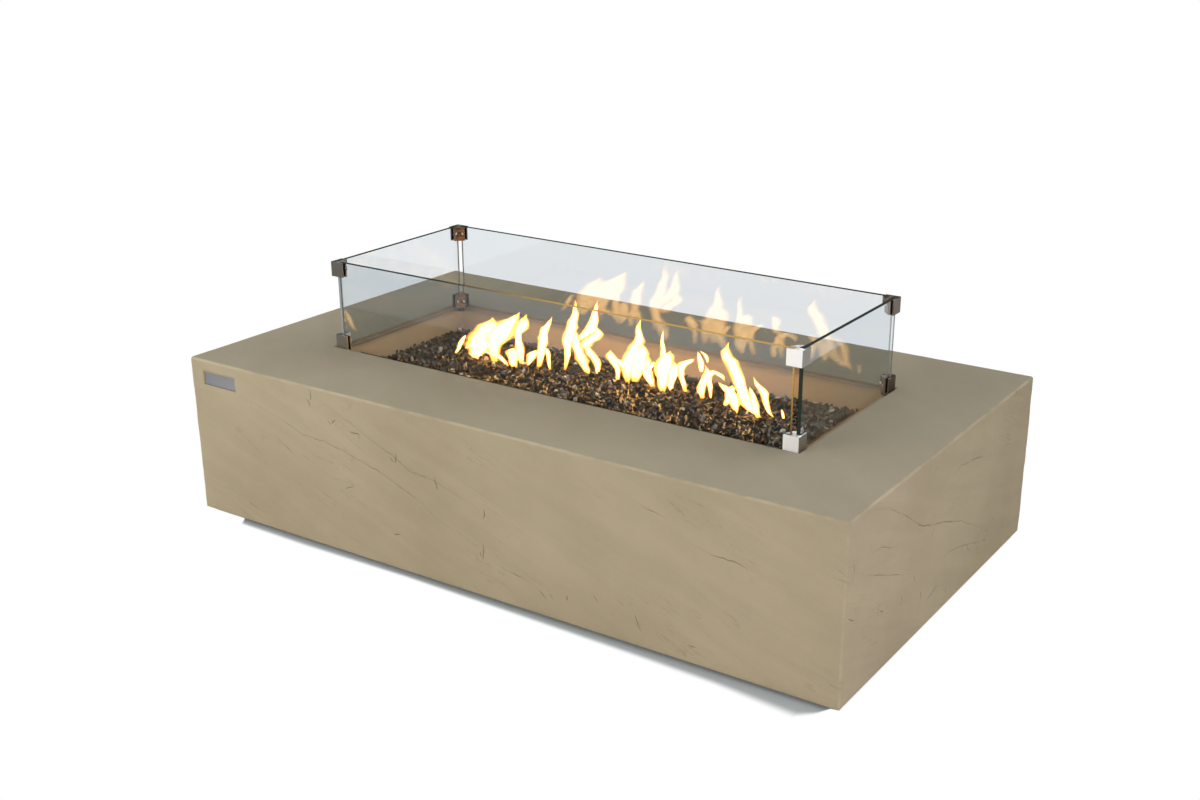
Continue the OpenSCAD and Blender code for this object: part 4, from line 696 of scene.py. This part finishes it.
# Wisps about 10 mm wide and 30 mm tall
place = add(tree, "ShaderNodeTexCoord").outputs["Object"]
drift = add(tree, "ShaderNodeVectorMath", {0: place, 1: (95.0, 95.0, 30.0)}, operation="MULTIPLY")
wisp = add(tree, "ShaderNodeTexNoise", {"Vector": drift, "Scale": 1.0, "Detail": 2.0})
wisp = add(tree, "ShaderNodeMapRange", {"Value": wisp, "From Min": 0.35, "From Max": 0.55, "To Min": 0.35})
veil = add(tree, "ShaderNodeMath", {0: dense, 1: wisp}, operation="MULTIPLY")
plug(shader, {"Base Color": (0.0, 0.0, 0.0, 1.0), "Roughness": 1.0, "Specular IOR Level": 0.0,
     "Emission Strength": 8.5, "Emission Color": glow, "Alpha": veil})

# A tongue: its distance behind the burner, then the points of its middle line (along, up, width) in mm
tongues = [
    (-3, [(-400, 319, 6), (-382, 350, 13), (-369, 367, 2)]),
    (-4, [(-340, 315, 18), (-339, 337, 46), (-321, 366, 68), (-300, 393, 56), (-291, 420, 14)]),
    (-5, [(-289, 320, 13), (-289, 359, 48), (-274, 386, 74), (-249, 413, 52), (-229, 429, 24),
          (-213, 445, 2)]),
    (-3, [(-369, 336, 10), (-353, 346, 23), (-332, 359, 29), (-309, 379, 19)]),
    (-11, [(-248, 319, 8), (-266, 333, 16), (-288, 339, 26), (-311, 341, 19)]),
    (12, [(-227, 318, 9), (-231, 352, 25), (-234, 383, 16), (-224, 408, 27), (-209, 437, 8)]),
    (-15, [(-228, 320, 13), (-231, 352, 27), (-227, 365, 8)]),
    (19, [(-214, 318, 6), (-204, 344, 23), (-191, 357, 8)]),
    (20, [(-186, 318, 12), (-179, 353, 20), (-172, 383, 26), (-170, 406, 23), (-158, 421, 14),
          (-147, 440, 2)]),
    (23, [(-159, 318, 5), (-162, 349, 14), (-169, 365, 11)]),
    (24, [(-118, 324, 6), (-111, 370, 18), (-108, 401, 30), (-98, 428, 24), (-89, 458, 15), (-91, 483, 2)]),
    (46, [(-73, 317, 15), (-86, 342, 27), (-101, 371, 24), (-108, 396, 21), (-105, 412, 9)]),
    (40, [(-92, 392, 12), (-74, 408, 24), (-60, 424, 30), (-52, 446, 18), (-50, 470, 8), (-43, 486, 1)]),
    (42, [(-82, 376, 22), (-64, 396, 26), (-46, 411, 25), (-52, 432, 9)]),
    (63, [(-63, 312, 5), (-60, 337, 18), (-72, 353, 24), (-87, 369, 18), (-101, 385, 8)]),
    (26, [(-98, 388, 15), (-104, 402, 14), (-112, 414, 2)]),
    (42, [(7, 318, 8), (5, 346, 15), (-9, 365, 28), (-13, 382, 12)]),
    (29, [(4, 370, 12), (20, 366, 18), (32, 350, 12)]),
    (40, [(33, 318, 9), (32, 351, 28), (41, 375, 37), (56, 401, 33), (62, 421, 23), (59, 444, 11),
          (66, 464, 7)]),
    (39, [(53, 326, 15), (59, 365, 39), (68, 391, 33), (68, 414, 15)]),
    (49, [(91, 318, 11), (77, 341, 23), (71, 367, 30), (66, 393, 18)]),
    (45, [(95, 375, 3), (86, 363, 15), (77, 348, 15)]),
    (38, [(125, 317, 13), (121, 342, 27), (123, 369, 42), (132, 394, 32), (140, 409, 7)]),
    (41, [(121, 386, 18), (119, 420, 8), (119, 450, 2)]),
    (50, [(138, 311, 4), (133, 335, 18), (140, 363, 30), (142, 382, 15)]),
    (54, [(168, 322, 10), (158, 355, 15), (158, 376, 21), (173, 387, 18), (189, 396, 6)]),
    (42, [(212, 376, 10), (211, 398, 13), (202, 418, 3)]),
    (48, [(223, 396, 3), (218, 410, 9), (204, 418, 3)]),
    (44, [(215, 319, 10), (210, 338, 17), (222, 364, 23), (237, 380, 23), (256, 376, 17), (265, 366, 6)]),
    (46, [(233, 322, 4), (230, 350, 12), (226, 370, 14), (219, 391, 2)]),
    (7, [(316, 318, 7), (309, 345, 28), (296, 363, 25), (271, 375, 11)]),
    (13, [(370, 316, 4), (345, 332, 25), (328, 358, 25), (315, 391, 28), (298, 418, 30), (286, 436, 24),
          (291, 461, 2)]),
    (27, [(278, 321, 11), (290, 349, 20), (294, 367, 8)]),
    (26, [(389, 319, 4), (375, 332, 12), (369, 357, 16), (364, 371, 18), (350, 381, 10), (341, 395, 1)]),
    (7, [(363, 318, 7), (358, 345, 16), (350, 366, 11), (344, 379, 2)]),
    (32, [(410, 318, 6), (406, 330, 5), (403, 336, 1)])]
tongue_sides, tongue_rings = 12, 14
# Each skin's width against the tongue's, its heat and its density
skins = ((1.14, 0.2, 0.14), (0.96, 0.55, 0.4), (0.7, 1.0, 0.8))
flame_bm = bmesh.new()
layers = flame_bm.verts.layers.float
for name in ("dense", "hotness"):
    layers.new(name)
dense_layer, heat_layer = layers["dense"], layers["hotness"]
for order, (behind, line) in enumerate(tongues):
    knots = [Vector(k) for k in line]
    knots = [knots[0] * 2 - knots[1]] + knots + [knots[-1] * 2 - knots[-2]]
    for wide, hottest, densest in skins:
        loops = []
        for k in range(tongue_rings + 1):
            rise = k / tongue_rings
            burning = min(1.0, 0.3 + rise / 0.16, 0.35 + (1.0 - rise) / 0.3)
            t = rise * (len(line) - 1)
            i = min(int(t), len(line) - 2)
            f = t - i
            p0, p1, p2, p3 = knots[i:i + 4]
            spot = 0.5 * (2 * p1 + (p2 - p0) * f + (2 * p0 - 5 * p1 + 4 * p2 - p3) * f * f
                          + (3 * p1 - p0 - 3 * p2 + p3) * f * f * f)
            width = max(0.6, spot.z) * wide / 2 * min(1.0, 0.08 + (1.0 - rise) / 0.16)
            waver = 2.2 * noise.noise(Vector((spot.x / 14, spot.y / 17, order * 3.7)))
            sway = 0.3 * width * noise.noise(Vector((order, spot.y / 25, 0)))
            centre = Vector((spot.x + waver, behind + sway, spot.y))
            twist = Matrix.Rotation(0.5 * noise.noise(Vector((order * 1.7, spot.y / 60, 4.0))), 3, "Z")
            ring = []
            for side_no in range(tongue_sides):
                angle = 2 * math.pi * side_no / tongue_sides
                torn = noise.noise(Vector((math.cos(angle) * 1.6, spot.y / 10, order * 5.1 + wide)))
                reach = Vector((width * math.cos(angle), 0.5 * width * math.sin(angle), 0))
                reach *= 1.0 + 0.42 * torn
                vert = flame_bm.verts.new((centre + twist @ reach) / 1000)
                vert[dense_layer] = densest * burning
                vert[heat_layer] = hottest * burning
                ring.append(vert)
            loops.append(ring)
        close_tube(flame_bm, loops)
bmesh.ops.recalc_face_normals(flame_bm, faces=flame_bm.faces)
flames = link_form("flames", flame_bm)
flames.data.shade_smooth()
flames.data.materials.append(fire)
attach(flames, "base")


# The guard's panels: 8 mm clear toughened glass, standing in the slots of the clamps. Their edges are
# ground and look green along the glass. Where the sheet would lead light from the fire to the edge in front
# of it, the edge has a painted glow.
pane, tree, shader = new_material("Clear toughened glass")
plug(shader, {"Base Color": srgb("#E7EBEE"), "Roughness": 0.0, "Transmission Weight": 1.0, "IOR": 1.5})
depth = add(tree, "ShaderNodeVolumeAbsorption", {"Color": srgb("#A9CFC2"), "Density": 3.0})
plug(tree.nodes["Material Output"], {"Volume": depth})

# The ground edge is painted light and shade: darker in front and along its top face, 550 mm up, paler behind
# and at the left end
edge, tree, shader = new_material("Ground glass edge")
place = add(tree, "ShaderNodeTexCoord").outputs["Object"]
spot = add(tree, "ShaderNodeSeparateXYZ", {0: place}).outputs
behind = add(tree, "ShaderNodeMapRange", {"Value": spot["Y"], "From Min": -0.19, "From Max": 0.19})
leftmost = add(tree, "ShaderNodeMath", {0: spot["X"], 1: -0.5}, operation="LESS_THAN")
behind = add(tree, "ShaderNodeMath", {0: behind, 1: leftmost}, operation="MAXIMUM")
upright = add(tree, "ShaderNodeMapRange", {"Value": spot["Z"], "From Min": 0.548, "From Max": 0.545})
behind = add(tree, "ShaderNodeMath", {0: behind, 1: upright}, operation="MULTIPLY")
tone = add(tree, "ShaderNodeMix", {"Factor": behind, "A": srgb("#36413A"), "B": srgb("#A4A9A6")},
           data_type="RGBA")
# Painted glow: the front pane's edge glows orange near the fire and over the bed
painted_fire_glow = add(tree, "ShaderNodeMath", {0: spot["Y"], 1: -0.2}, operation="LESS_THAN")
near_fire = add(tree, "ShaderNodeMapRange", {"Value": spot["X"], "From Min": -0.3, "From Max": 0.1},
                interpolation_type="SMOOTHSTEP")
over_bed = add(tree, "ShaderNodeMapRange", {"Value": spot["Z"], "From Min": 0.36, "From Max": 0.5})
for part in (near_fire, over_bed, 0.75):
    painted_fire_glow = add(tree, "ShaderNodeMath", {0: painted_fire_glow, 1: part}, operation="MULTIPLY")
plug(shader, {"Base Color": tone, "Roughness": 0.4, "IOR": 1.0, "Emission Color": srgb("#D9A650"),
     "Emission Strength": painted_fire_glow})


for node, sheet_axis in (("front_glass", 1), ("rear_glass", 1), ("left_glass", 0), ("right_glass", 0)):
    mesh = merged_copy(node, 1)
    mesh.materials.append(pane)
    mesh.materials.append(edge)
    for polygon in mesh.polygons:
        polygon.material_index = 0 if abs(polygon.normal[sheet_axis]) > 0.9 else 1
    piece = link_mesh(f"ground_{node}", mesh)
    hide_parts(node)
    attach(piece, "guard")


# The corner clamps: investment castings in stainless steel, ground flat and polished, with broken edges. Two
# screws press each one on the two panes of its corner. The grinding draws every glint out into a streak.
polished = brushed_steel("Ground stainless casting", "#F0EDE8", 0.4, 0.3, "X")
tree = polished.node_tree
shader = tree.nodes["Principled BSDF"]
lie = add(tree, "ShaderNodeTangent", direction_type="RADIAL", axis="Z")
# Painted reflection and shade: the clamps behind the fire are coloured brown, those on the left greyer, and
# the ends of all of them darker
place = add(tree, "ShaderNodeTexCoord").outputs["Object"]
spot = add(tree, "ShaderNodeSeparateXYZ", {0: place}).outputs
behind = add(tree, "ShaderNodeMapRange", {"Value": spot["Y"], "From Min": -0.15, "From Max": 0.15})
leftward = add(tree, "ShaderNodeMapRange", {"Value": spot["X"], "From Min": 0.3, "From Max": -0.3})
ahead = add(tree, "ShaderNodeMix", {"Factor": leftward, "A": srgb("#F6F4F0"), "B": srgb("#B7B1A8")},
            data_type="RGBA")
stain_and_reflection = add(tree, "ShaderNodeMix", {"Factor": behind, "A": ahead, "B": srgb("#8B7969")}, data_type="RGBA")
facing = add(tree, "ShaderNodeNewGeometry").outputs["True Normal"]
facing = add(tree, "ShaderNodeVectorMath", {0: facing}, operation="ABSOLUTE")
facing = add(tree, "ShaderNodeSeparateXYZ", {0: facing}).outputs["X"]
ends = add(tree, "ShaderNodeMapRange", {"Value": facing, "From Min": 0.5, "From Max": 0.9, "To Max": 0.5})
stain_and_reflection = add(tree, "ShaderNodeMix", {"Factor": ends, "A": stain_and_reflection, "B": srgb("#5F5347")}, data_type="RGBA")
plug(shader, {"Base Color": stain_and_reflection, "Tangent": lie, "Anisotropic": 0.95, "Anisotropic Rotation": 0.25})
clamps = [f"{level}_clamp_{corner}" for level in ("lower", "upper") for corner in ("fl", "fr", "rl", "rr")]
for node in clamps:
    mesh = merged_copy(node, 1)
    mesh.materials.append(polished)
    piece = link_mesh(f"polished_{node}", mesh)
    broken_edge = piece.modifiers.new("broken edge", "BEVEL")
    broken_edge.width = 0.0006
    broken_edge.segments = 2
    broken_edge.limit_method = "ANGLE"
    broken_edge.angle_limit = math.radians(40)
    broken_edge.harden_normals = True
    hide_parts(node)
    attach(piece, "guard")


# The domed screws that press on the glass: stainless steel, threaded through the clamps' inner blocks. They
# are bright, with duller spots where the polish has gone.
dress(mottled("Polished stainless screw", 300.0, 2.0, "#ECEAE6", (0.2, 0.45), 1.0), "clamp_screws")


# Pads and feet of the guard, and the feet of the body: moulded black rubber with a matt, fine-grained skin.
# The pads lie in the slots, the guard's feet are pegged on and the body's are screwed on.
rubber = mottled("Moulded black rubber", 900.0, 3.0, [(0.35, "#161514"), (0.65, "#26241F")], 0.72,
                 grain=0.3)
dress(rubber, "clamp_pads", "guard_feet", "foot_pads")


# The control recess: a tray folded from stainless sheet and screwed into the left end of the casting. It is
# brushed upright, which leaves fine lines and soft glints.
dress(brushed_steel("Brushed stainless sheet", "#B5B3AE", 0.3, 0.5, "Z"), "control_tray")


# The knob and the igniter's case: moulded in black phenolic, a hard plastic with a satin gloss. The knob is
# pushed on the flat of the stem, and a nut holds the case.
phenolic = mottled("Black phenolic", 500.0, 2.0, "#1C1B1B", (0.24, 0.4))
dress(phenolic, "control_knob", "igniter_case")


# The igniter's button: a nickel-plated brass cap that slides in the case. It is a little yellow and
# mirror-bright, polished by fingers.
dress(mottled("Nickel-plated cap", 240.0, 2.0, "#C9C3B6", (0.08, 0.2), 1.0), "igniter_button")


# The gas lines: two corrugated stainless hoses, ribbed every 4 mm along their routes, then a soft aluminium
# pilot tube, a copper lead and a silicone-sleeved wire. All are fixed between fittings; none lies free.
ribbed = brushed_steel("Corrugated stainless hose", "#9D9A95", 0.3, 0.5, "Z")
hose = bpy.data.node_groups.new("Corrugated hose along a route", "GeometryNodeTree")
hose.interface.new_socket("Route", in_out="INPUT", socket_type="NodeSocketGeometry")
for name, value in (("Bend radius", 0.045), ("Outer radius", 0.007), ("Rib pitch", 0.004),
                    ("Rib depth", 0.0014)):
    hose.interface.new_socket(name, in_out="INPUT", socket_type="NodeSocketFloat").default_value = value
hose.interface.new_socket("Hose", in_out="OUTPUT", socket_type="NodeSocketGeometry")
given = add(hose, "NodeGroupInput").outputs
route = add(hose, "GeometryNodeMeshToCurve", {"Mesh": given["Route"]})
route = add(hose, "GeometryNodeFilletCurve", {"Curve": route, "Radius": given["Bend radius"], "Count": 16},
            mode="POLY")
step = add(hose, "ShaderNodeMath", {0: given["Rib pitch"], 1: 6.0}, operation="DIVIDE")
route = add(hose, "GeometryNodeResampleCurve", {"Curve": route, "Length": step}, mode="LENGTH")
gone = add(hose, "GeometryNodeSplineParameter").outputs["Length"]
phase = add(hose, "ShaderNodeMath", {0: gone, 1: given["Rib pitch"]}, operation="DIVIDE")
phase = add(hose, "ShaderNodeMath", {0: phase, 1: 2 * math.pi}, operation="MULTIPLY")
wave = add(hose, "ShaderNodeMath", {0: phase}, operation="COSINE")
wave = add(hose, "ShaderNodeMapRange", {"Value": wave, "From Min": -1.0, "To Min": 1.0, "To Max": 0.0})
valley = add(hose, "ShaderNodeMath", {0: given["Rib depth"], 1: given["Outer radius"]}, operation="DIVIDE")
size = add(hose, "ShaderNodeMath", {0: wave, 1: valley}, operation="MULTIPLY")
size = add(hose, "ShaderNodeMath", {0: 1.0, 1: size}, operation="SUBTRACT")
round_profile = add(hose, "GeometryNodeCurvePrimitiveCircle", {"Resolution": 20,
                    "Radius": given["Outer radius"]})
skin = add(hose, "GeometryNodeCurveToMesh", {"Curve": route, "Profile Curve": round_profile,
           "Scale": size, "Fill Caps": True})
skin = add(hose, "GeometryNodeSetShadeSmooth", {"Geometry": skin})
skin = add(hose, "GeometryNodeSetMaterial", {"Geometry": skin, "Material": ribbed})
add(hose, "NodeGroupOutput", {"Hose": skin})
routes = {
    "main_hose": [(-0.6865, 0.0, 0.136), (-0.6865, 0.0, 0.075), (0.0, 0.0, 0.075), (0.0, 0.0, 0.138)],
    "supply_hose": [(-0.56, 0.351, 0.04), (-0.56, 0.243, 0.04), (-0.56, 0.243, 0.175),
                    (-0.6865, 0.243, 0.175), (-0.6865, 0.039, 0.175)]}
for node, corners in routes.items():
    route_mesh = bpy.data.meshes.new("route")
    route_mesh.from_pydata(corners, [(k, k + 1) for k in range(len(corners) - 1)], [])
    line = link_mesh("route", route_mesh)
    line.modifiers.new("grow", "NODES").node_group = hose
    piece = baked(line, f"corrugated_{node}")
    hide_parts(node)
    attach(piece, "base")
# Drawn aluminium is pale and dull, copper has browned in patches, and silicone rubber is matt
dress(mottled("Drawn aluminium tube", 120.0, 3.0, "#C4C5C6", (0.3, 0.5), 1.0), "pilot_tube")
copper = mottled("Drawn copper capillary", 70.0, 3.0, [(0.35, "#8A4F2C"), (0.65, "#B9754A")], 0.35, 1.0)
dress(copper, "thermocouple_lead")
silicone = mottled("Red silicone sleeve", 200.0, 3.0, [(0.35, "#8E3522"), (0.65, "#A6432C")], 0.6)
dress(silicone, "ignition_wire")


# The inlet bracket: steel strip, bent and screwed to the back wall. Its grey powder coat is matt, with the
# small bumps that melted powder leaves.
dress(mottled("Grey powder coat", 700.0, 2.0, "#6C6B69", 0.5, grain=0.4), "inlet_bracket")
